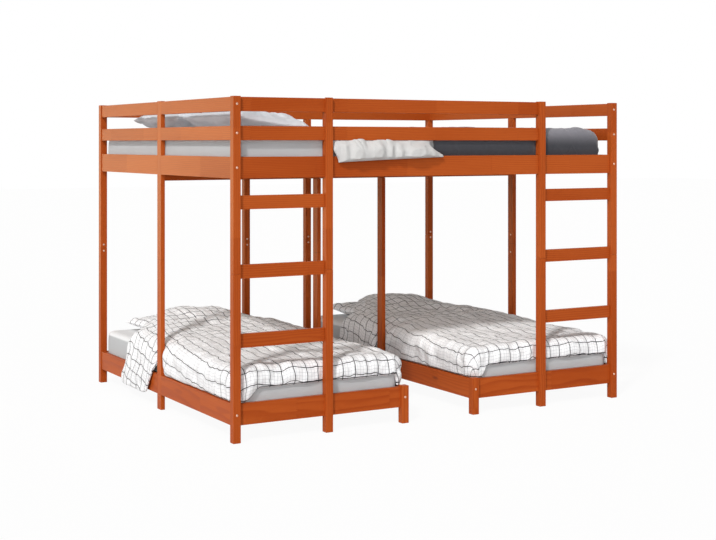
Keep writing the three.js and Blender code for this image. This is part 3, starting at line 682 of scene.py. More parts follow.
def make_piece(
    name: str,
    points: Array,
    faces: Array,
    material: bpy.types.Material,
    caps: Sequence[Sequence[int]] = (),
    cloth: Optional[Array] = None,
    hem: Optional[Array] = None,
) -> bpy.types.Object:
    """Puts points and faces into a new object at the origin.

    Args:
        name: the piece's name.
        points: its points, one row each.
        faces: its four-sided faces.
        material: its finish.
        caps: further faces of any number of corners.
        cloth: place of each point on the flat cloth, in metres.
        hem: distance of each point from the cloth's hem, in metres.

    Returns:
        The object.
    """
    mesh = bpy.data.meshes.new(name)
    mesh.from_pydata(points.tolist(), [], faces.tolist() + [list(cap) for cap in caps])
    mesh.materials.append(material)
    mesh.polygons.foreach_set("use_smooth", np.ones(len(mesh.polygons), bool))
    if cloth is not None:
        corners = np.empty(len(mesh.loops), np.int32)
        mesh.loops.foreach_get("vertex_index", corners)
        layer = mesh.uv_layers.new(name="cloth")
        layer.data.foreach_set("uv", cloth[corners].astype(np.float32).ravel())
    if hem is not None:
        mesh.attributes.new("hem", "FLOAT", "POINT").data.foreach_set("value", hem.astype(np.float32))
    mesh.validate()
    mesh.update()
    piece = bpy.data.objects.new(name, mesh)
    bpy.context.scene.collection.objects.link(piece)
    return piece


def get_points(piece: bpy.types.Object) -> Array:
    """The points of a piece's own mesh."""
    points = np.empty(len(piece.data.vertices) * 3, np.float32)
    piece.data.vertices.foreach_get("co", points)
    return points.reshape(-1, 3).astype(float)


def set_points(piece: bpy.types.Object, points: Array) -> None:
    """Writes points back into a piece's own mesh."""
    piece.data.vertices.foreach_set("co", points.astype(np.float32).ravel())
    piece.data.update()


def doubled(values: Array) -> Array:
    """A number for each point of a grid, given for the outer and again for the inner cloth."""
    return np.concatenate((values.ravel(), values.ravel()))


def cloths(outer: Array, inner: Array) -> Array:
    """The points of an outer and an inner cloth, one row each."""
    return np.concatenate((outer.reshape(-1, 3), inner.reshape(-1, 3)))


def cloth_places(outer: Array, rows: tuple[int, int], columns: tuple[int, int]) -> Array:
    """Place on the flat cloth of every point of a laid grid, in metres.

    The first number is the distance walked along the point's row from the middle column, the second the
    distance walked along its column from the first of the rows given. Beyond the rows and columns given,
    as round a corner, a point takes the numbers of the nearest one.

    Args:
        outer: the grid's points.
        rows: first and last row whose own walk counts.
        columns: first and last column whose own walk counts.

    Returns:
        Two numbers for each point, one row each.
    """
    walk = np.linalg.norm(np.diff(outer, axis=1), axis=2)
    across = np.concatenate((np.zeros((len(outer), 1)), np.cumsum(walk, axis=1)), 1)
    middle = outer.shape[1] // 2
    across -= (across[:, middle - 1] + across[:, middle])[:, None] / 2
    across = across[np.clip(np.arange(len(outer)), *rows)]
    walk = np.linalg.norm(np.diff(outer, axis=0), axis=2)
    along = np.concatenate((np.zeros((1, outer.shape[1])), np.cumsum(walk, axis=0)))
    along = along - along[rows[0]]
    along = along[:, np.clip(np.arange(outer.shape[1]), *columns)]
    return np.stack((across, along), -1)


def put_on(piece: bpy.types.Object, node: str) -> None:
    """Rounds a finished soft piece and hangs it on the frame.

    Args:
        piece: the piece.
        node: the solid it stands for.
    """
    rounded = piece.modifiers.new("rounded", "SUBSURF")
    rounded.levels = 1
    rounded.render_levels = 1
    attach(piece, ROOT)
    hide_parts(node)
    log.info("%s: %d faces", piece.name, len(piece.data.polygons))


def waves(first: Array, second: Array, seed: int, long: float, short: float, count: int) -> Array:
    """Soft uneven rises from -1 to 1: a sum of sines of random heading and phase.

    Each sine's length lies between long and short, and the longer ones count more.

    Args:
        first: one coordinate of each point, in metres.
        second: the other coordinate.
        seed: the seed of the draws.
        long: the longest sine, in metres.
        short: the shortest sine.
        count: how many sines are summed.

    Returns:
        The rise at each point.
    """
    chance = np.random.default_rng(seed)
    total = np.zeros(np.broadcast(first, second).shape)
    weight = 0.0
    for _ in range(count):
        heading = chance.uniform(0, math.pi)
        length = math.exp(chance.uniform(math.log(short), math.log(long)))
        phase = chance.uniform(0, 2 * math.pi)
        run = first * math.cos(heading) + second * math.sin(heading)
        share = (length / long) ** 0.7
        total += share * np.sin(2 * math.pi * run / length + phase + 1.3 * np.sin(total))
        weight += share
    return total / (0.5 * weight)


def creases(first: Array, second: Array, seed: int, length: float, count: int) -> Array:
    """Sharp-backed folds from 0 to 1: the square of one less 1.6 times the size of bent waves.

    Args:
        first: one coordinate of each point, in metres.
        second: the other coordinate.
        seed: the seed of the draws.
        length: how far apart the folds lie, in metres.
        count: how many families of folds there are, of which the highest counts.

    Returns:
        The fold's height at each point.
    """
    total = np.zeros(np.broadcast(first, second).shape)
    for number in range(count):
        bend = waves(first, second, seed + 31 * number, length * 4, length * 1.5, 4)
        bent = (first + 0.03 * bend, second - 0.03 * bend)
        wave = waves(*bent, seed + 7 * number + 3, length, length * 0.7, 5)
        total = np.maximum(total, np.clip(1 - np.abs(wave) * 1.6, 0, 1) ** 2)
    return total


@dataclass(frozen=True)
class Swell:
    """Cloth simulation that fills a closed padded shape, with a cap on how far a point may move."""

    pressure: float = 3.0
    spare: float = 0.03
    cap: float = 0.007
    frames: int = 20
    quality: int = 4
    mass: float = 0.3
    stretch_stiffness: float = 12.0
    bend_stiffness: float = 0.35

    def fill(self, piece: bpy.types.Object) -> None:
        """Runs the simulation on a piece and keeps its result in the mesh.

        A point that moved by d is kept at the cap times the hyperbolic tangent of d over the cap.

        Args:
            piece: a closed shape whose mesh is its cloth.
        """
        before = get_points(piece)
        modifier = piece.modifiers.new("swell", "CLOTH")
        settings = modifier.settings
        settings.quality = self.quality
        settings.mass = self.mass
        settings.use_pressure = True
        settings.uniform_pressure_force = self.pressure
        settings.shrink_min = -self.spare
        settings.shrink_max = -self.spare
        settings.effector_weights.gravity = 0.0
        settings.tension_stiffness = self.stretch_stiffness
        settings.compression_stiffness = self.stretch_stiffness
        settings.bending_stiffness = self.bend_stiffness
        modifier.collision_settings.use_collision = False
        modifier.point_cache.frame_start = 1
        modifier.point_cache.frame_end = self.frames
        scene = bpy.context.scene
        for number in range(1, self.frames + 1):
            scene.frame_set(number)
        filled = piece.evaluated_get(bpy.context.evaluated_depsgraph_get())
        after = np.empty(len(before) * 3, np.float32)
        filled.data.vertices.foreach_get("co", after)
        moved = after.reshape(-1, 3).astype(float) - before
        piece.modifiers.remove(modifier)
        scene.frame_set(1)
        far = np.linalg.norm(moved, axis=1, keepdims=True)
        log.info("%s: moved %.1f mm at most", piece.name, 1000 * float(far.max()))
        kept = self.cap * np.tanh(far / self.cap) / np.maximum(far, 1e-9)
        set_points(piece, before + moved * kept)


# Timber


def dress_solid(name: str, finish: bpy.types.Material, edge: float) -> None:
    """Gives one of the frame's own solids its finish and soft edges.

    Args:
        name: the solid's node.
        finish: its material.
        edge: how wide its edges are rounded, in metres.
    """
    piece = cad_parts[name]
    piece.data.materials.clear()
    piece.data.materials.append(finish)
    weld = piece.modifiers.new("joined", "WELD")
    weld.merge_threshold = 0.00002
    bevel = piece.modifiers.new("soft_edges", "BEVEL")
    bevel.width = edge
    bevel.segments = 2
    bevel.limit_method = "ANGLE"
    bevel.angle_limit = math.radians(40)
    bevel.use_clamp_overlap = True


@dataclass
class Timberwork:
    """The frame's own lengths of pine: the CAD solids stay, with soft edges and a finish each."""

    edge: float = 0.0014
    seam: float = 0.7
    whole_posts: tuple[str, ...] = ("end_middle_post", "bed_back_post", "bed_middle_post")

    def names(self) -> list[str]:
        """Every node that is a length of timber."""
        soft = ("mattress", "pillow", "duvet", "quilt", "slats")
        return sorted(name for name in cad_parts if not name.endswith(soft))

    @staticmethod
    def grain(name: str) -> Grain:
        """Which way a node's grain runs: along its longest side."""
        low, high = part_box(name)
        size = [high[axis] - low[axis] for axis in range(3)]
        return Grain(size.index(max(size)))

    def dress(self) -> None:
        """Rounds the edges of each length of timber and gives it its own cut of pine."""
        for seed, name in enumerate(self.names()):
            seam = self.seam if name.endswith(self.whole_posts) else None
            finish = STAINED.material(f"stained_pine_{name}", self.grain(name), 100 + seed, seam)
            dress_solid(name, finish, self.edge)
        log.info("timber: %d lengths dressed", len(self.names()))


@dataclass
class SlatBases:
    """The three slat bases: bare pine slats on two woven tapes each."""

    inset: float = 0.170
    width: float = 0.025
    under_top: float = 0.0106
    edge: float = 0.0012

    def dress(self) -> None:
        """Finishes the three solids, whose tapes lie at equal distances from the slats' ends."""
        for seed, (name, grain) in enumerate((
            ("left_bed_slats", Grain.ALONG_X),
            ("right_bed_slats", Grain.ALONG_X),
            ("upper_bed_slats", Grain.ALONG_Y),
        )):
            low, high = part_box(name)
            near, far = low[grain.value], high[grain.value]
            tapes = (
                (near + self.inset, near + self.inset + self.width),
                (far - self.inset - self.width, far - self.inset),
            )
            above = low.z + self.under_top
            finish = SlatPine(BARE).material(f"slats_{name}", grain, 300 + seed, tapes, above)
            dress_solid(name, finish, self.edge)
            log.info("%s: dressed", name)


Spot = tuple[Sequence[float], Sequence[float]]


@dataclass
class BoltHeads:
    """Round-headed bolts sunk in their counterbores, each with a six-sided socket."""

    radius: float = 0.0052
    sunk: float = 0.003
    proud: float = 0.0007
    socket: float = 0.0021
    corners: int = 18
    post_half: float = 0.017
    bed_rail_half: float = 0.045
    splice_half: float = 0.016
    board_half: float = 0.047

    def profile(self) -> Array:
        """Radius and height of the head's rings, from the socket's floor to the foot of its rim."""
        crown = self.sunk + self.proud
        share = np.linspace(0, 1, 5)
        dome_out = self.socket * 1.25 + (self.radius - self.socket * 1.25) * share
        dome_up = crown - 0.0016 * share**2.2
        rings = [(self.socket * 0.92, crown - 0.0022), (self.socket, crown - 0.0001)]
        rings += list(zip(dome_out, dome_up)) + [(self.radius, 0.0)]
        return np.array(rings)

    def head(self, mouth: Sequence[float], facing: Sequence[float]) -> Array:
        """Points of one head: each ring a circle, but the socket's two rings six-sided.

        The head stands on its counterbore's floor.

        Args:
            mouth: middle of the counterbore's mouth.
            facing: which way the head points, level.

        Returns:
            The points, ring after ring.
        """
        out = np.array(facing, float)
        up = np.array((0.0, 0.0, 1.0))
        side = np.cross(up, out)
        turn = np.linspace(0, 2 * math.pi, self.corners, endpoint=False)
        hexagon = math.cos(math.pi / 6) / np.cos((turn % (math.pi / 3)) - math.pi / 6)
        rings = self.profile()
        reach = np.repeat(rings[:, :1], self.corners, axis=1)
        reach[:2] *= hexagon
        rise = rings[:, 1:2]
        floor = np.array(mouth, float) - out * self.sunk
        around = reach[..., None] * (np.cos(turn)[:, None] * side + np.sin(turn)[:, None] * up)
        return (floor + around + rise[..., None] * out).reshape(-1, 3)

    def places(self) -> dict[str, list[Spot]]:
        """Mouth and facing of every bolt, by the group it belongs to."""
        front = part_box("front_left_post_upper")[0].y
        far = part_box("back_right_post_upper")[1]
        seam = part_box("front_left_post_lower")[1].z
        bed = self.middle("left_bed_foot_rail")
        levels = [self.middle(f"front_{name}") for name in ("top_rail", "mid_rail", "bed_rail")] + [bed]
        corner = far.x - self.post_half
        inner = abs(self.centre("left_bed_foot_post"))
        step = abs(self.centre("left_ladder_post_upper"))
        board = abs(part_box("left_end_middle_post")[1].x)
        through = 2 * self.post_half
        groups = {"front_bolt_heads": [], "back_bolt_heads": [], "splice_bolt_heads": []}
        splices = groups["splice_bolt_heads"]
        for side in (-1, 1):
            for name, face, out in (("front_bolt_heads", front, -1), ("back_bolt_heads", far.y, 1)):
                groups[name] += [((side * corner, face, z), (0, out, 0)) for z in levels]
                groups[name].append(((side * inner, face, bed), (0, out, 0)))
            for z in (seam - self.splice_half, seam + self.splice_half):
                splices += [((side * x, front + through, z), (0, 1, 0)) for x in (corner, step)]
                splices += [((side * x, far.y - through, z), (0, -1, 0)) for x in (corner, inner)]
            for z in (seam - self.board_half, seam + self.board_half):
                splices.append(((side * board, 0.0, z), (-side, 0, 0)))
        return groups

    @staticmethod
    def middle(name: str) -> float:
        """Height of a rail's middle line, which a bed rail with its ledge has under its top."""
        low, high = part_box(name)
        return high.z - BoltHeads.bed_rail_half if "bed_rail" in name else (low.z + high.z) / 2

    @staticmethod
    def centre(name: str) -> float:
        """The x of a post's middle line."""
        low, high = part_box(name)
        return (low.x + high.x) / 2

    def build(self) -> None:
        """Makes one piece of each group of heads."""
        finish = BoltSteel().material("zinc_plated_steel")
        rings = len(self.profile())
        size = rings * self.corners
        for name, spots in self.places().items():
            heads = [self.head(mouth, facing) for mouth, facing in spots]
            starts = range(0, size * len(heads), size)
            faces = np.concatenate([tube_faces(rings, self.corners, start) for start in starts])
            caps = []
            for start in starts:
                caps.append(range(start, start + self.corners))
                caps.append(range(start + size - 1, start + size - self.corners - 1, -1))
            piece = make_piece(name, np.concatenate(heads), faces[:, ::-1], finish, caps)
            crisp = piece.modifiers.new("crisp", "EDGE_SPLIT")
            crisp.split_angle = math.radians(45)
            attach(piece, ROOT)
            log.info("%s: %d heads", name, len(heads))


# Mattresses and pillows


@dataclass
class Mattress:
    """A foam mattress: rounded edges, a taped seam round top and bottom, a little fuller in the middle."""

    node: str
    edge: float = 0.030
    corner: float = 0.042
    tape: float = 0.0035
    crown: float = 0.004
    crown_run: float = 0.3
    steps: int = 7

    def outline(self, half_x: float, half_y: float) -> tuple[Array, Array]:
        """Core points and outward directions round a rectangle with round corners.

        Each corner is a quarter turn about a core point, and each side is a run between two of them.

        Args:
            half_x: half the mattress's width.
            half_y: half its length.

        Returns:
            The core points and their directions, one row each.
        """
        cores, normals = [], []
        signs = ((1, -1), (1, 1), (-1, 1), (-1, -1))
        counts = (max(8, round(half_y * 24)), max(8, round(half_x * 24)))
        for number, (sx, sy) in enumerate(signs):
            core = np.array((sx * (half_x - self.corner), sy * (half_y - self.corner)))
            turn = math.radians(-90 + 90 * number) + np.linspace(0, math.pi / 2, self.steps)
            cores.append(np.repeat(core[None], self.steps, axis=0))
            normals.append(np.stack((np.cos(turn), np.sin(turn)), -1))
            nx, ny = signs[(number + 1) % 4]
            goal = np.array((nx * (half_x - self.corner), ny * (half_y - self.corner)))
            share = np.linspace(0, 1, counts[number % 2] + 2)[1:-1, None]
            cores.append(core + (goal - core) * share)
            normals.append(np.repeat(normals[-1][-1:], len(share), axis=0))
        return np.concatenate(cores), np.concatenate(normals)

    def profile(self, half_z: float, reach: float) -> Array:
        """Inset and height of the rings: across the underside, round the side and across the top.

        The side is a quarter circle, a slightly bowed wall and a quarter circle, and halfway round each
        quarter lies a bead, the seam's tape. The inmost rings are four fifths of the way to the middle.

        Args:
            half_z: half the mattress's thickness.
            reach: how far in its middle line lies.

        Returns:
            Two numbers for each ring.
        """
        turn = np.linspace(0, math.pi / 2, self.steps)
        inset = self.edge * (1 - np.sin(turn))
        rise = self.edge * (1 - np.cos(turn))
        bead = self.tape * np.exp(-(((turn - math.pi / 4) / 0.20) ** 2))
        bend = np.stack((inset - bead * 0.7, rise - bead * 0.7 - half_z), -1)
        flats = [(self.edge + share * (reach - self.edge), -half_z) for share in (0.8, 0.5, 0.2)]
        side = np.linspace(-half_z + self.edge, half_z - self.edge, 6)[1:-1]
        wall = np.stack((-0.0012 * np.cos(side / half_z * math.pi / 2), side), -1)
        low = np.concatenate((flats, bend))
        high = low[::-1] * (1, -1)
        return np.concatenate((low, wall, high))

    def points(self) -> tuple[Array, int, int]:
        """The profile carried round the outline; past the corner radius the core shrinks with the inset.

        Returns:
            The points, the number of rings and the number of points in a ring.
        """
        low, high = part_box(self.node)
        middle = np.array((low + high) / 2)
        half = np.array((high - low) / 2)
        cores, normals = self.outline(half[0], half[1])
        profile = self.profile(half[2], float(min(half[:2])))
        inset = profile[:, 0, None, None]
        shrink = np.maximum(inset - self.corner, 0.0)
        core_half = half[:2] - self.corner
        core = cores[None] * (1 - np.minimum(shrink / core_half, 1.0))
        flat = core + normals[None] * np.maximum(self.corner - inset, 0.0)
        rise = np.repeat(profile[:, 1:2], len(cores), axis=1)
        inside = np.clip((profile[:, :1] - self.edge) / self.crown_run, 0, 1) * np.sign(rise)
        rise = rise + np.where(rise > 0, self.crown * smooth(0, 1, inside), 0)
        grid = np.concatenate((flat, rise[..., None]), -1) + middle
        return grid.reshape(-1, 3), len(profile), len(cores)

    def build(self) -> None:
        """Makes the mattress in place of its solid."""
        points, rows, columns = self.points()
        caps = [range(columns)[::-1], range((rows - 1) * columns, rows * columns)]
        low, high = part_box(self.node)
        finish = Ticking().material(f"ticking_{self.node}", low.z + self.edge / 2, high.z - self.edge / 2)
        piece = make_piece(f"{self.node}_foam", points, tube_faces(rows, columns), finish, caps)
        put_on(piece, self.node)


@dataclass
class Pillow:
    """A pillow: two cloths sewn at mid-height, full in the middle, drawn in between its corners."""

    node: str
    seed: int
    tilt: float = 0.0
    checked: bool = False
    seam: float = 0.005
    step: float = 0.0105
    power: float = 0.48
    drawn: float = 0.045
    inside: float = 0.006
    past: float = 0.004
    press: float = 0.020
    swell: Swell = Swell(pressure=5.0, cap=0.014)

    def cushion(self, half_x: float, half_y: float, high: float) -> tuple[Array, int, int]:
        """Upper and lower cloth over (u, v) from -1 to 1.

        The height is the full one times (1 - u^2)(1 - v^2) to a power just under a half, the sides draw
        in between the corners, and puckers run in from the seams.

        Args:
            half_x: half the pillow's width.
            half_y: half its length.
            high: its thickness in the middle.

        Returns:
            The points, and the rows and columns of each cloth.
        """
        rows, columns = round(2 * half_y / self.step), round(2 * half_x / self.step)
        u, v = np.meshgrid(np.linspace(-1, 1, columns), np.linspace(-1, 1, rows))
        crown = (np.clip(1 - u * u, 0, 1) * np.clip(1 - v * v, 0, 1)) ** self.power
        x = half_x * u * (1 - self.drawn * (1 - v * v) * u * u)
        y = half_y * v * (1 - self.drawn * (1 - u * u) * v * v)
        rim_x, rim_y = 1 - np.abs(u), 1 - np.abs(v)
        pucker = waves(v * half_y, 0 * u, self.seed, 0.07, 0.03, 5) * np.exp(-rim_x * 9)
        pucker += waves(u * half_x, 0 * v, self.seed + 5, 0.07, 0.03, 5) * np.exp(-rim_y * 9)
        inner = smooth(0.0, 0.12, np.minimum(rim_x, rim_y))
        layers = []
        for side in (1, -1):
            loose = waves(x, y, self.seed + 11 + side, 0.34, 0.10, 7) * 0.008 * inner
            fold = creases(x, y, self.seed + 40 + side, 0.30, 2) * 0.006 * inner
            rise = self.seam * 0.5 + (high / 2 - self.seam) * crown + loose - fold
            rise = rise + pucker * 0.003 * smooth(0.0, 0.06, np.minimum(rim_x, rim_y))
            layers.append(np.stack((x, y, side * np.maximum(rise, self.seam * 0.4)), -1).reshape(-1, 3))
        return np.concatenate(layers), rows, columns

    def build(self) -> None:
        """Makes the pillow in place of its solid, filled by simulation and set on the mattress."""
        low, high = (np.array(corner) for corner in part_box(self.node))
        half = (high - low) / 2
        rise = (high[2] - low[2]) - 2 * half[0] * math.sin(self.tilt) * 0.55
        points, rows, columns = self.cushion(half[0] - self.inside, half[1] - self.inside, rise)
        paint = CheckCotton(shift=(0.02, 0.01)) if self.checked else PALE
        finish = paint.material(f"pillow_cotton_{self.node}")
        sides = points.reshape(2, rows, columns, 3)
        cloth = [cloth_places(side, (rows // 2, rows // 2), (columns // 2, columns // 2)) for side in sides]
        piece = make_piece(
            f"{self.node}_case",
            points,
            shell_faces(rows, columns),
            finish,
            cloth=np.stack(cloth).reshape(-1, 2),
            hem=np.ones(len(points)),
        )
        self.swell.fill(piece)
        set_points(piece, self.laid(get_points(piece), low, high))
        put_on(piece, self.node)

    def laid(self, points: Array, low: Array, high: Array) -> Array:
        """Tilts the pillow, moves it to its place and presses it flat on what it lies on.

        Nearer to the ground than the press p, a height h becomes p times e to the power (h / p - 1).

        Args:
            points: the pillow's points about its middle.
            low: the solid's lowest corner.
            high: its highest corner.

        Returns:
            The points where they belong.
        """
        sine, cosine = math.sin(self.tilt), math.cos(self.tilt)
        turned = points.copy()
        turned[:, 0] = points[:, 0] * cosine + points[:, 2] * sine
        turned[:, 2] = points[:, 2] * cosine - points[:, 0] * sine
        turned += (low + high) / 2
        turned[:, :2] = np.clip(turned[:, :2], low[:2] - self.past, high[:2] + self.past)
        pressed = low[2] + 0.0002 + self.press
        sunk = turned[:, 2] < pressed
        turned[sunk, 2] = pressed + self.press * (np.exp((turned[sunk, 2] - pressed) / self.press) - 1)
        return turned


# Covers


@dataclass(frozen=True)
class Barrier:
    """A face of the frame that a cover presses against.

    The cover stays on one side of a plane, square to x or y, within a window along the other way and in
    height; beside the window it eases away from the plane on a parabola.
    """

    axis: int
    keep: int
    plane: float
    window: tuple[float, float]
    heights: tuple[float, float]
    ease: float = 0.014

    def hold(self, points: Array) -> Array:
        """Moves the points that are past the barrier back to it.

        Args:
            points: the cover's points, one row each.

        Returns:
            The moved points.
        """
        other = points[:, 1 - self.axis]
        beside = np.maximum(np.maximum(self.window[0] - other, other - self.window[1]), 0)
        above = np.maximum(np.maximum(self.heights[0] - points[:, 2], points[:, 2] - self.heights[1]), 0)
        limit = self.keep * self.plane - (beside**2 + above**2) / (2 * self.ease)
        held = points.copy()
        held[:, self.axis] = self.keep * np.maximum(self.keep * points[:, self.axis], limit)
        return held


def barrier(node: str, axis: int, keep: int, gap: float = 0.0015) -> Barrier:
    """The barrier that one solid of the frame is, at its face towards the cover.

    Args:
        node: the solid.
        axis: 0 for a plane square to x, 1 for one square to y.
        keep: 1 where the cover stays on the plane's high side, -1 where on its low side.
        gap: how far off the face the plane lies.

    Returns:
        The barrier.
    """
    low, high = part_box(node)
    plane = (high[axis] if keep > 0 else low[axis]) + keep * gap
    return Barrier(axis, keep, plane, (low[1 - axis] - 0.002, high[1 - axis] + 0.002), (low[2], high[2]))


@dataclass(frozen=True)
class Slip:
    """The left side of a cover where it has slid over the rail and hangs beside it.

    Lengths run along the bed from the mattress's foot edge. The hem follows straight runs between knots,
    each a place along the bed and how much lower than the plain hem it hangs there.
    """

    start: float = 0.795
    ease: float = 0.030
    out: float = 0.0275
    wider: float = 0.004
    thick: float = 0.013
    lean: float = 0.082
    places: tuple[float, ...] = (0.785, 0.822, 0.925, 0.965, 1.190, 1.255, 1.290)
    lower: tuple[float, ...] = (0.0, -0.075, 0.100, 0.108, 0.112, 0.110, 0.080)

    def over(self, along: Array) -> Array:
        """How far the cloth is over the rail, from 0 in front of the slip to 1."""
        return smooth(self.start, self.start + self.ease, along)

    def extra(self, along: Array) -> Array:
        """How much longer the side hangs."""
        return np.interp(along, self.places, self.lower)


@dataclass
class Cover:
    """A padded cover laid over a mattress, its sides and its foot turned down over the edges.

    Lengths are over the cloth: across from the middle line, along from the mattress's foot edge. The
    corner is how far the cloth runs level past the core, the edge the radius on which it then turns
    down, and the falls are how far it hangs below the mattress's top. A step is the range of headings
    round a foot corner over which the side's fall gives way to the foot's. At the left head corner the
    head edge swings back (corner_back, from the share corner_from on). Without a brim its place, 9 m,
    lies past the head of any bed.
    """

    half: float
    head: float
    head_taper: float = 0.0
    loft: float = 0.032
    hem: float = 0.011
    edge: float = 0.030
    corner: float = 0.012
    gap: float = 0.0008
    side_fall: float = 0.117
    foot_fall: float = 0.063
    step: tuple[float, float] = (0.85, 1.13)
    corner_back: float = 0.0
    corner_from: float = 0.18
    corner_wide: float = 0.0
    brim: float = 9.0
    brim_high: float = 0.015
    columns: int = 90
    rows: int = 128
    foot_share: float = 0.13
    seed: int = 1
    slip: Optional[Slip] = None

    def grid(self) -> tuple[Array, Array]:
        """Shares across (-1 to 1) and along (0 at the foot hem to 1 at the head)."""
        across = np.linspace(-1, 1, self.columns)
        along = np.linspace(0, 1, self.rows)
        return np.meshgrid(across, along)

    def head_line(self, across: Array, beyond: Array) -> Array:
        """Where the head edge lies: straight, but further back towards the left corner.

        On a side that has slipped it leans towards the head again on its way down.

        Args:
            across: distance over the cloth from the middle line.
            beyond: share of the way from the core to the hem of the side.

        Returns:
            The head edge's place along the mattress.
        """
        left = np.clip(-across / self.half, 0, None)
        line = self.head - smooth(self.corner_from, 1.0, left) * self.corner_back
        if self.slip:
            line = line + self.slip.lean * smooth(0.35, 1.0, beyond) * (across < 0)
        return line

    def surface(self) -> dict[str, Array]:
        """Lays the cloth.

        Inside the core rectangle it is flat. Past the core, the distance over the cloth runs level,
        round the mattress's edge by a quarter circle and then straight down. At a foot corner the
        distance is measured outwards from the core's corner, and the side's longer drop steps up to the
        foot's.

        Returns:
            For each point of the grid: x and y from the mattress's middle line and foot edge, how far
            down it lies, its outward direction (normal), how far it has turned over the edge and its
            heading round a corner, its place on the cloth (u, v), its distance from the whole hem (rim),
            from the hem at foot and head only (rim_end) and from the head edge (rim_head), its place
            along the mattress and how far it has slipped over the rail.
        """
        s, t = self.grid()
        core_x = self.half - self.edge - self.corner
        core_y = self.edge + self.corner
        arc = self.edge * math.pi / 2
        run_side = self.corner + arc + self.side_fall - self.edge
        run_foot = self.corner + arc + self.foot_fall - self.edge
        full = core_x + run_side
        beyond = np.clip((np.abs(s) * full - core_x) / run_side, 0, 1)
        x_core = np.clip(s * full, -core_x, core_x)
        q = np.clip(1 - t / self.foot_share, 0, 1)
        up = np.clip((t - self.foot_share) / (1 - self.foot_share), 0, 1)
        head = self.head_line(s * full, beyond)
        y_core = core_y + (head - core_y) * up
        slip, out_more, wider, extra = self.slipped(s, y_core)
        level = self.corner + out_more
        radius = self.edge + wider
        reach_side = run_side + out_more + extra
        most = np.maximum(beyond, q)
        least = np.minimum(beyond, q)
        ratio = least / np.maximum(most, 1e-6) * math.pi / 4
        heading = np.where(beyond >= q, ratio, math.pi / 2 - ratio)
        heading = np.where(most > 0, heading, 0.0)
        inward = np.ones_like(s)
        if self.corner_wide:
            inward = np.where(s < 0, (core_x - np.abs(x_core)) / self.corner_wide, 1)
        reach = reach_side + (run_foot - reach_side) * smooth(*self.step, heading) * smooth(0.0, 1.0, inward)
        distance = most * reach
        turn = np.clip((distance - level) / radius, 0, math.pi / 2)
        out = np.minimum(distance, level) + radius * np.sin(turn)
        down = radius * (1 - np.cos(turn)) + np.maximum(0, distance - level - radius * math.pi / 2)
        side = np.sign(s)
        x = x_core + side * np.cos(heading) * out
        y = y_core - np.sin(heading) * out
        tip = np.sin(turn)
        normal = np.stack((side * np.cos(heading) * tip, -np.sin(heading) * tip, np.cos(turn)), -1)
        rim_side = (1 - beyond) * reach + np.where(beyond > 0, 0, core_x - np.abs(x_core))
        rim_foot = (1 - q) * reach + np.where(q > 0, 0, y_core - core_y)
        rim_head = head - y_core + q * reach
        rim_end = np.minimum(rim_foot, rim_head)
        return {
            "x": x,
            "y": y,
            "down": down,
            "normal": normal,
            "turn": turn,
            "heading": heading,
            "u": x_core + side * beyond * reach,
            "v": y_core - q * reach,
            "rim": np.minimum(rim_side, rim_end),
            "rim_end": np.minimum(rim_end, rim_side + 0.05 * (1 - slip)),
            "rim_head": rim_head,
            "along": y_core,
            "slip": slip,
        }

    def slipped(self, s: Array, along: Array) -> tuple[Array, ...]:
        """How the left side lies where it has slipped over the rail.

        Args:
            s: share across, from -1 to 1.
            along: place along the mattress.

        Returns:
            How far it is over the rail (0 to 1), how much further out it lies level, how much wider it
            turns down and how much longer it hangs.
        """
        if self.slip is None:
            return 0 * s, 0 * s, 0 * s, 0 * s
        left = s < 0
        over = self.slip.over(along) * left
        wider = over * self.slip.wider
        return over, over * self.slip.out - wider, wider, self.slip.extra(along) * left

    def thickness(self, laid: dict[str, Array], more: Union[Array, float] = 0.0) -> Array:
        """Loft over the cloth: the hem's at the rim, rising as a root over 90 mm, with soft bulges.

        The hanging part has upright pleats, and behind the brim the loft sinks by a low step.

        Args:
            laid: what surface gives.
            more: further loft at each point.

        Returns:
            The thickness at each point.
        """
        share = np.sqrt(np.clip(laid["rim"] / 0.09, 0, 1))
        if self.head_taper:
            share = share * np.clip(laid["rim_head"] / self.head_taper, 0, 1) ** 0.6
        full = self.loft + more
        below = smooth(self.brim - 0.004, self.brim + 0.014, laid["along"])
        behind = 1 - smooth(self.brim + 0.02, self.brim + 0.26, laid["along"])
        full = full - self.brim_high * below * behind
        if self.slip:
            full = full + laid["slip"] * smooth(0.0, 1.0, laid["turn"]) * (self.slip.thick - full)
        bulge = waves(laid["u"], laid["v"], self.seed, 0.42, 0.15, 8) * 0.0050
        fold = creases(laid["u"], laid["v"], self.seed + 90, 0.24, 3) * 0.0075
        falls = smooth(0.3, 1.0, laid["turn"])
        hang = np.sin(laid["v"] / 0.021 + 2.2 * np.sin(laid["v"] / 0.06)) * np.cos(laid["heading"])
        hang += np.sin(laid["u"] / 0.023 + 2.0 * np.sin(laid["u"] / 0.07)) * np.sin(laid["heading"])
        inner = smooth(0.0, 0.05, laid["rim"])
        soft = (bulge - fold) * inner + hang * falls * 0.0022
        return np.maximum(self.hem + (full - self.hem) * share + soft, 0.004)

    def settled(
        self, piece: bpy.types.Object, laid: dict[str, Array], top: float, swell: Swell, held: list[Barrier]
    ) -> Array:
        """Fills the cover by simulation and presses it to the frame and to the mattress.

        Args:
            piece: the cover's shape, its outer cloth before its inner one.
            laid: what surface gives.
            top: height that the flat part keeps above.
            swell: the simulation.
            held: the faces it presses against.

        Returns:
            The points, to be written back.
        """
        swell.fill(piece)
        points = get_points(piece)
        for each in held:
            points = each.hold(points)
        flat = doubled(laid["turn"]) < 0.05
        points[flat, 2] = np.maximum(points[flat, 2], top)
        return points


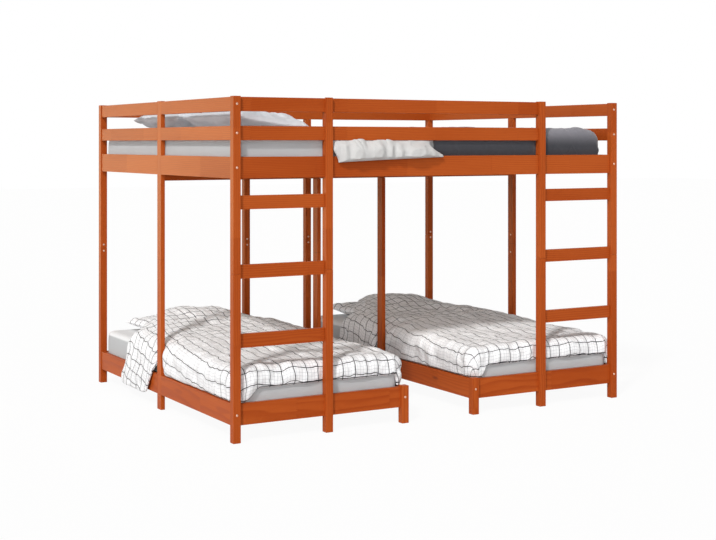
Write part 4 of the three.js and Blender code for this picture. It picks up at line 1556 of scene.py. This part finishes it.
@dataclass
class LowerDuvet:
    """The checked duvet of one lower bed, drawn up over the pillow.

    Its left head corner has slipped over the rail and hangs beside it.
    """

    side: str
    seed: int
    side_line: float = 0.025
    foot_line: float = 0.070
    corner_wide: float = 0.035
    brim: float = 1.100
    brim_shift: float = 0.022
    side_border: bool = False
    swell: Swell = Swell()
    hump_half: float = 0.370
    hump_to_foot: float = 0.420
    hump_to_head: float = 0.340
    puff_high: float = 0.042
    puff_full_at: float = 1.060
    head_gap: float = 0.060
    rail_gap: float = 0.002

    def lift(self, x: Array, y: Array) -> Array:
        """Height over the pillow: its thickness times a^0.7 times b^0.9.

        a and b are one less the square of the share of the way from the pillow's middle to the end of the
        hump, which reaches further towards the foot than towards the head.

        Args:
            x: each point's x.
            y: each point's y.

        Returns:
            The height over the mattress.
        """
        low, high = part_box(f"{self.side}_bed_pillow")
        middle = (low + high) / 2
        reach = np.where(y < middle.y, self.hump_to_foot, self.hump_to_head)
        a = np.clip(1 - ((x - middle.x) / self.hump_half) ** 2, 0, None)
        b = np.clip(1 - ((y - middle.y) / reach) ** 2, 0, None)
        return (high.z - low.z + 0.002) * a**0.7 * b**0.9

    def puff(self, laid: dict[str, Array], half: float, lift: Array) -> Array:
        """How much fuller than its plain loft the duvet lies, most of all in front of the pillow.

        The cubes of the lift and of the fullness are added, so the fullness fades where the lift is high.

        Args:
            laid: what the cover's surface gives.
            half: half the mattress's width.
            lift: height over the pillow.

        Returns:
            The further loft at each point.
        """
        share = laid["y"] / self.puff_full_at
        along = smooth(0.1, 1.0, share) * (1 - 0.25 * smooth(1.0, 1.35, share))
        across = 1 - np.minimum(1.0, np.abs(laid["x"]) / half) ** 6
        return np.cbrt(lift**3 + (self.puff_high * along * across) ** 3) - lift

    def barriers(self) -> list[Barrier]:
        """The posts that the duvet presses against."""
        name = self.side
        outer = 1 if name == "left" else -1
        return [
            barrier(f"{name}_ladder_post_lower", 1, 1),
            barrier(f"front_{name}_post_lower", 1, 1),
            barrier(f"{name}_bed_foot_post", 1, 1),
            barrier(f"{name}_end_middle_post", 0, outer),
            barrier(f"{name}_bed_middle_post", 0, -outer),
        ]

    def build(self) -> None:
        """Makes the duvet in place of its solid."""
        low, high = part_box(f"{self.side}_bed_mattress")
        node = f"{self.side}_bed_duvet"
        half = (high.x - low.x) / 2 + BESIDE
        cover = Cover(
            half=half,
            head=high.y - low.y - self.head_gap,
            head_taper=0.24,
            corner_back=0.335,
            corner_wide=self.corner_wide,
            brim=self.brim,
            seed=self.seed,
            slip=Slip(),
        )
        laid = cover.surface()
        middle = (low.x + high.x) / 2
        x, y = middle + laid["x"], low.y + laid["y"]
        top = high.z + cover.gap
        lift = self.lift(x, y)
        inner = np.stack((x, y, top + lift - laid["down"]), -1)
        outer = inner + laid["normal"] * cover.thickness(laid, self.puff(laid, half, lift))[..., None]
        cloth, paint = self.pattern(outer, laid)
        piece = make_piece(
            f"{node}_cover",
            cloths(outer, inner),
            shell_faces(cover.rows, cover.columns),
            paint.material(f"check_cotton_{self.side}"),
            cloth=np.concatenate((cloth, cloth)),
            hem=doubled(self.border(laid, half)),
        )
        points = cover.settled(piece, laid, top, self.swell, self.barriers())
        tucked = doubled(laid["slip"]) <= 0.97
        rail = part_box(f"{self.side}_bed_foot_rail")[1].z + self.rail_gap
        points[tucked, 2] = np.maximum(points[tucked, 2], rail)
        set_points(piece, points)
        put_on(piece, node)

    def border(self, laid: dict[str, Array], half: float) -> Array:
        """Distance from the drawn border's rim, which the brim on the flat part counts as too.

        On the flap that hangs over the rail, and beside the brim where the cloth turns down, a tenth of
        a metre is added, so that no border is drawn there.

        Args:
            laid: what the cover's surface gives.
            half: half the mattress's width.

        Returns:
            The distance at each point.
        """
        flap = smooth(0.25, 0.5, -laid["u"] / half) * smooth(0.85, 0.95, laid["along"])
        brim = np.abs(laid["along"] - self.brim) + CheckCotton.hem + 0.1 * smooth(0.1, 0.6, laid["turn"])
        return np.minimum(laid["rim" if self.side_border else "rim_end"], brim) + 0.1 * flap

    def pattern(self, outer: Array, laid: dict[str, Array]) -> tuple[Array, CheckCotton]:
        """The cloth's check, moved so that its lines lie over the hems as seen.

        Args:
            outer: the outer cloth's points.
            laid: what the cover's surface gives.

        Returns:
            Each point's place on the flat cloth, one row each, and the finish.
        """
        core = laid["turn"] < 0.01
        rows, columns = np.flatnonzero(core.any(axis=1)), np.flatnonzero(core.any(axis=0))
        cloth = cloth_places(outer, (int(rows[0]), int(rows[-1])), (int(columns[0]), int(columns[-1])))
        flat = 1 - smooth(0.1, 0.6, laid["turn"])
        cloth[..., 0] += self.brim_shift * flat * (laid["along"] > self.brim) * (laid["u"] > -0.10)
        pane = CheckCotton.pane
        side = -cloth[len(cloth) // 3, 0, 0] - self.side_line + pane / 2
        foot = -cloth[0, cloth.shape[1] // 2, 1] - self.foot_line + pane / 2
        paint = CheckCotton(shift=(side % pane, foot % pane), faint=(0.02, 0.14, 0.60, 0.80))
        return cloth.reshape(-1, 2), paint


@dataclass
class UpperQuilt:
    """The dark quilt of the upper bed, turned down over the front, the back and the right end."""

    node: str = "upper_bed_quilt"
    seed: int = 21
    inside_rail: float = 0.012
    pleat: float = 0.006
    end_full: float = 0.016
    swell: Swell = Swell()

    def barriers(self) -> list[Barrier]:
        """The rails and posts on both long sides, and a plane inside the bed rails beside them."""
        held = [
            barrier("right_ladder_post_upper", 1, 1),
            barrier("left_bed_back_post", 1, -1),
            barrier("right_bed_back_post", 1, -1),
        ]
        for edge, keep in (("front", 1), ("back", -1)):
            rail = barrier(f"{edge}_mid_rail", 1, keep)
            low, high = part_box(f"{edge}_bed_rail")
            face = (low.y if keep > 0 else high.y) + keep * self.inside_rail
            held.append(rail)
            held.append(replace(rail, window=(low.x, high.x), heights=(low.z, high.z)))
            held.append(Barrier(1, keep, face, (low.x, high.x), (0.0, 2.0)))
        return held

    def build(self) -> None:
        """Makes the quilt in place of its solid, which the turned-back part stands for as well."""
        low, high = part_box("upper_bed_mattress")
        cover = Cover(
            half=(high.y - low.y) / 2 + BESIDE,
            head=0.943,
            loft=0.042,
            hem=0.014,
            corner=0.042,
            side_fall=0.112,
            foot_fall=0.106,
            columns=124,
            rows=84,
            foot_share=0.2,
            seed=self.seed,
        )
        laid = cover.surface()
        x, y = high.x - laid["y"], (low.y + high.y) / 2 + laid["x"]
        top = high.z + cover.gap
        normal = np.stack((-laid["normal"][..., 1], laid["normal"][..., 0], laid["normal"][..., 2]), -1)
        inner = np.stack((x, y, top - laid["down"]), -1)
        pleats = np.sin(laid["u"] / 0.015 + 1.5 * np.sin(laid["u"] / 0.05)) * smooth(0.2, 1.2, laid["turn"])
        end = np.sin(laid["heading"]) * smooth(0.3, 1.3, laid["turn"])
        thick = cover.thickness(laid) + self.pleat * pleats * np.sin(laid["heading"]) + self.end_full * end
        outer = inner + normal * thick[..., None]
        faces = shell_faces(cover.rows, cover.columns)
        finish = DARK.material("dark_cotton_quilt")
        piece = make_piece(f"{self.node}_cover", cloths(outer, inner), faces, finish)
        set_points(piece, cover.settled(piece, laid, top, self.swell, self.barriers()))
        put_on(piece, self.node)


@dataclass
class TurnedFold:
    """The pale turned-back part of the quilt, which bulges out over the front bed rail."""

    node: str = "upper_bed_quilt"
    left: float = -0.553
    right: float = -0.056
    depth: float = 0.90
    thick: float = 0.024
    hem: float = 0.006
    puff: float = 0.011
    outmost: float = -0.8655
    columns: int = 96
    rows: int = 110

    @staticmethod
    def curve(knots: Array, share: Array) -> tuple[Array, Array]:
        """A smooth line through the knots and its heading, at each share of its way.

        Between two knots it is the cubic whose slope at each knot is half the step from the knot before it
        to the one after it.

        Args:
            knots: y and z of each knot.
            share: shares of the way, the knots evenly spaced.

        Returns:
            y and z at each share, and the heading there.
        """
        ends = np.concatenate((2 * knots[:1] - knots[1:2], knots, 2 * knots[-1:] - knots[-2:-1]))
        place = share * (len(knots) - 1)
        start = np.clip(place.astype(int), 0, len(knots) - 2)
        f = (place - start)[..., None]
        a, b, c, d = (ends[start + step] for step in range(4))
        point = b + 0.5 * f * (c - a + f * (2 * a - 5 * b + 4 * c - d + f * (3 * (b - c) + d - a)))
        heading = 0.5 * (c - a + 2 * f * (2 * a - 5 * b + 4 * c - d) + 3 * f * f * (3 * (b - c) + d - a))
        return point, heading / np.linalg.norm(heading, axis=-1, keepdims=True)

    def knots(self) -> Array:
        """The middle line from the far end over the mattress and the rail to the hem, as y and z."""
        rail_low, rail_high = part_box("front_bed_rail")
        mattress_low, mattress_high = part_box("upper_bed_mattress")
        start, top = mattress_low.y, mattress_high.z + 0.0012
        face, rail_top = rail_low.y - 0.002, rail_high.z
        return np.array((
            (start + self.depth, top),
            (start + 0.40, top),
            (start + 0.085, top),
            (start + 0.020, top - 0.001),
            (face + 0.011, rail_top + 0.049),
            (face - 0.004, rail_top + 0.017),
            (face - 0.002, rail_top - 0.022),
        ))

    def surfaces(self) -> Array:
        """Both cloths over s, from left to right, and the share of the way from the far end to the hem.

        The inner cloth follows the middle line. Its sides lean to the right over the rail, its far end
        is rounded, and its hem rises to the right. The outer cloth lies off it by a thickness that is a
        root of the distance from the rims, with pleats over the rail and soft waves and creases behind it.

        Returns:
            The points, one row each.
        """
        s, t = np.meshgrid(np.linspace(0, 1, self.columns), np.linspace(0, 1, self.rows))
        share = t**0.55
        knots = self.knots()
        point, heading = self.curve(knots, share)
        hanging = smooth(0.62, 0.86, share)
        lean = 0.072 * smooth(0.66, 1.0, share) * s**3 + 0.026 * smooth(0.75, 1.0, share) * (1 - s) ** 4
        lean += 0.006 * np.sin(share * 9 + 2) * (1 - hanging) + 0.030 * s**2 * (1 - smooth(0.45, 0.7, share))
        x = self.left + (self.right - self.left) * s + lean
        far = np.clip(1 - share / 0.4, 0, 1) ** 1.5
        y = point[..., 0] - far * (0.11 * np.abs(2 * s - 1) ** 3 + 0.028 * (1 + np.sin(9 * s + 1)))
        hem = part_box("front_bed_rail")[1].z - 0.027 + 0.021 * s
        z = point[..., 1] + smooth(0.80, 1.0, share) * (hem - knots[-1, 1])
        gather = np.sin(x / 0.0115 + 2.1 * np.sin(x / 0.041) + 0.8 * share)
        broad = np.sin(x / 0.043 + 5 * share)
        pleats = (self.puff * (0.5 + 0.5 * broad) + 0.0048 * gather) * hanging
        loose = (waves(x, y, 77, 0.30, 0.10, 7) - creases(x, y, 78, 0.22, 3)) * 0.006 * (1 - hanging)
        rim = np.minimum(9 * np.minimum(s, 1 - s), 14 * (1 - share))
        rim = np.minimum(1, np.minimum(rim, 12 * share))
        thick = self.hem + (self.thick - self.hem) * np.sqrt(rim) + (pleats + loose) * rim
        inner = np.stack((x, y, z), -1)
        off = np.stack((0 * x, heading[..., 1], -heading[..., 0]), -1)
        return cloths(inner + off * thick[..., None], inner)

    def pressed(self, points: Array) -> Array:
        """Keeps the fold under the middle rail, above the bed rail and inside the bed's whole width.

        Args:
            points: its points, one row each.

        Returns:
            The moved points.
        """
        mid_low, mid_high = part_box("front_mid_rail")
        rail_low, rail_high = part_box("front_bed_rail")
        y, z = points[:, 1], points[:, 2]
        ceiling = mid_low.z - 0.0015
        past = y - mid_high.y - 0.004
        under = (past < 0) & (y > mid_low.y - 0.004)
        z = np.where(under, np.minimum(z, ceiling), z)
        z = np.where(past >= 0, np.minimum(z, ceiling + 1.4 * past), z)
        over = (y > rail_low.y - 0.001) & (y < rail_high.y + 0.03)
        z = np.where(over, np.maximum(z, rail_high.z + 0.0015), z)
        return np.stack((points[:, 0], np.maximum(y, self.outmost), z), -1)

    def build(self) -> None:
        """Makes the fold beside the quilt, in place of the same solid."""
        faces = shell_faces(self.rows, self.columns)[:, ::-1]
        points = self.pressed(self.surfaces())
        piece = make_piece(f"{self.node}_turned_fold", points, faces, FOLDED.material("folded_cotton"))
        put_on(piece, self.node)


# Studio


@dataclass
class Studio:
    """Camera, lamps, world and floor.

    The camera stands level and is shifted, as the photograph's was. Angles are in degrees. The world's
    light falls from its horizon's value to the zenith's, reached at zenith_from, and is stronger on the
    left. The floor is white to the camera with a small share of matt, which takes the bed's shadow.
    """

    lens: float = 67.67
    shift: float = -0.1779
    turn: float = -29.88
    stand: tuple[float, float, float] = (-3.350, -5.916, 1.246)
    key: float = 2.15
    key_angle: float = 6.0
    key_colour: Colour = (1.0, 0.985, 0.965)
    key_travel: tuple[float, float, float] = (1.12, 0.88, -1.33)
    fill: float = 1.2
    fill_angle: float = 60.0
    fill_travel: tuple[float, float, float] = (0.75, 1.4, -0.35)
    horizon: float = 1.05
    zenith: float = 0.28
    zenith_from: float = 0.62
    leftward: float = 0.50
    panel: float = 4.2
    panel_size: tuple[float, float] = (4.0, 2.5)
    panel_colour: Colour = (1.0, 0.78, 0.34)
    floor_half: float = 30.0
    floor_grey: float = 0.62
    floor_matt: float = 0.06

    def camera(self) -> None:
        """Sets the camera at the photograph's viewing angle."""
        data = bpy.data.cameras.new("camera")
        data.sensor_width = 36
        data.lens = self.lens
        data.shift_y = self.shift
        camera = bpy.data.objects.new("camera", data)
        camera.location = self.stand
        camera.rotation_euler = (math.pi / 2, 0, math.radians(self.turn))
        bpy.context.scene.collection.objects.link(camera)
        bpy.context.scene.camera = camera

    def lamps(self) -> None:
        """A high key lamp, a soft low fill from the front, and a panel that is only mirrored."""
        self.hang(
            "key", "SUN", self.key, (0.0, 0.0, 5.0), self.key_travel,
            angle=math.radians(self.key_angle), color=self.key_colour,
        )
        self.hang(
            "fill", "SUN", self.fill, (-3.0, -6.0, 2.0), self.fill_travel, angle=math.radians(self.fill_angle)
        )
        wide, high = self.panel_size
        panel = self.hang(
            "panel", "AREA", self.panel * math.pi * wide * high, (-4.0, 5.2, 1.0), (4.0, -5.2, -0.2),
            shape="RECTANGLE", size=wide, size_y=high, color=self.panel_colour,
        )
        panel.visible_diffuse = False
        panel.visible_camera = False

    @staticmethod
    def hang(
        name: str,
        kind: str,
        energy: float,
        spot: Sequence[float],
        travel: Sequence[float],
        **settings: Union[float, str, Colour],
    ) -> bpy.types.Object:
        """Hangs a lamp.

        Args:
            name: the lamp's name.
            kind: its type.
            energy: its strength.
            spot: where it hangs.
            travel: the direction in which its light travels.
            settings: its other settings.

        Returns:
            The lamp.
        """
        data = bpy.data.lights.new(name, kind)
        data.energy = energy
        for key, value in settings.items():
            setattr(data, key, value)
        lamp = bpy.data.objects.new(name, data)
        lamp.location = spot
        tilt = math.atan2(math.hypot(travel[0], travel[1]), -travel[2])
        lamp.rotation_euler = (tilt, 0, math.atan2(travel[1], travel[0]) - math.pi / 2)
        bpy.context.scene.collection.objects.link(lamp)
        return lamp

    def world(self) -> None:
        """Light that is brightest at the horizon and on the left, plain white where seen or mirrored."""
        world = bpy.data.worlds.new("world")
        bpy.context.scene.world = world
        shader = Shader("world", world)
        camera = shader.node("ShaderNodeLightPath", output="Is Camera Ray")
        seen = camera.most(camera.beside("Is Glossy Ray")).most(camera.beside("Is Transmission Ray"))
        sideways, _, height = shader.parts(shader.node("ShaderNodeTexCoord", output="Generated"))
        light = self.horizon + height.rise(0.0, self.zenith_from) * (self.zenith - self.horizon)
        light = light * (1 - sideways * self.leftward)
        shader.finish(Color=(1.0, 1.0, 1.0), Strength=seen + (1 - seen) * light)

    def floor(self) -> None:
        """A wide pale floor: white to the camera, with the bed's soft shadow, and grey to other light."""
        half = self.floor_half
        points = np.array([(-half, -half, 0), (half, -half, 0), (half, half, 0), (-half, half, 0)], float)
        shader = Shader("floor")
        glow = shader.node("ShaderNodeEmission", None, {0: (1.0, 1.0, 1.0)})
        matt = shader.node("ShaderNodeBsdfDiffuse", None, {0: (0.85, 0.85, 0.85)})
        grey = shader.node("ShaderNodeBsdfDiffuse", None, {0: (self.floor_grey,) * 3})
        pale = shader.node("ShaderNodeMixShader", None, {0: self.floor_matt, 1: glow, 2: matt})
        camera = shader.node("ShaderNodeLightPath", output="Is Camera Ray")
        seen = camera.most(camera.beside("Is Glossy Ray"))
        chosen = shader.node("ShaderNodeMixShader", None, {0: seen, 1: grey, 2: pale})
        output = next(node for node in shader.tree.nodes if node.type == "OUTPUT_MATERIAL")
        shader.feed(output.inputs[0], chosen)
        shader.tree.nodes.remove(shader.surface)
        floor = make_piece("floor", points, np.array([[0, 1, 2, 3]]), shader.material)

    def build(self) -> None:
        """Sets up the whole studio."""
        view = bpy.context.scene.view_settings
        view.view_transform = "Standard"
        self.camera()
        self.lamps()
        self.world()
        self.floor()


def main() -> None:
    """Builds the studio and dresses every sub-assembly in turn."""
    logging.basicConfig(level=logging.INFO, format="%(message)s", stream=sys.stdout)
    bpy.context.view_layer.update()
    Studio().build()
    Timberwork().dress()
    SlatBases().dress()
    BoltHeads().build()
    for name in ("left_bed_mattress", "right_bed_mattress", "upper_bed_mattress"):
        Mattress(name).build()
    calm = Swell(spare=0.02, cap=0.005)
    Pillow("left_bed_pillow", seed=3, checked=True, swell=calm).build()
    Pillow("right_bed_pillow", seed=4, checked=True, swell=calm).build()
    Pillow("upper_bed_front_pillow", seed=5, tilt=0.13).build()
    Pillow("upper_bed_back_pillow", seed=6, tilt=0.13).build()
    LowerDuvet("left", seed=11, corner_wide=0.068).build()
    LowerDuvet("right", seed=12, side_line=0.070, side_border=True).build()
    UpperQuilt().build()
    TurnedFold().build()


if __name__ == "__main__":
    main()
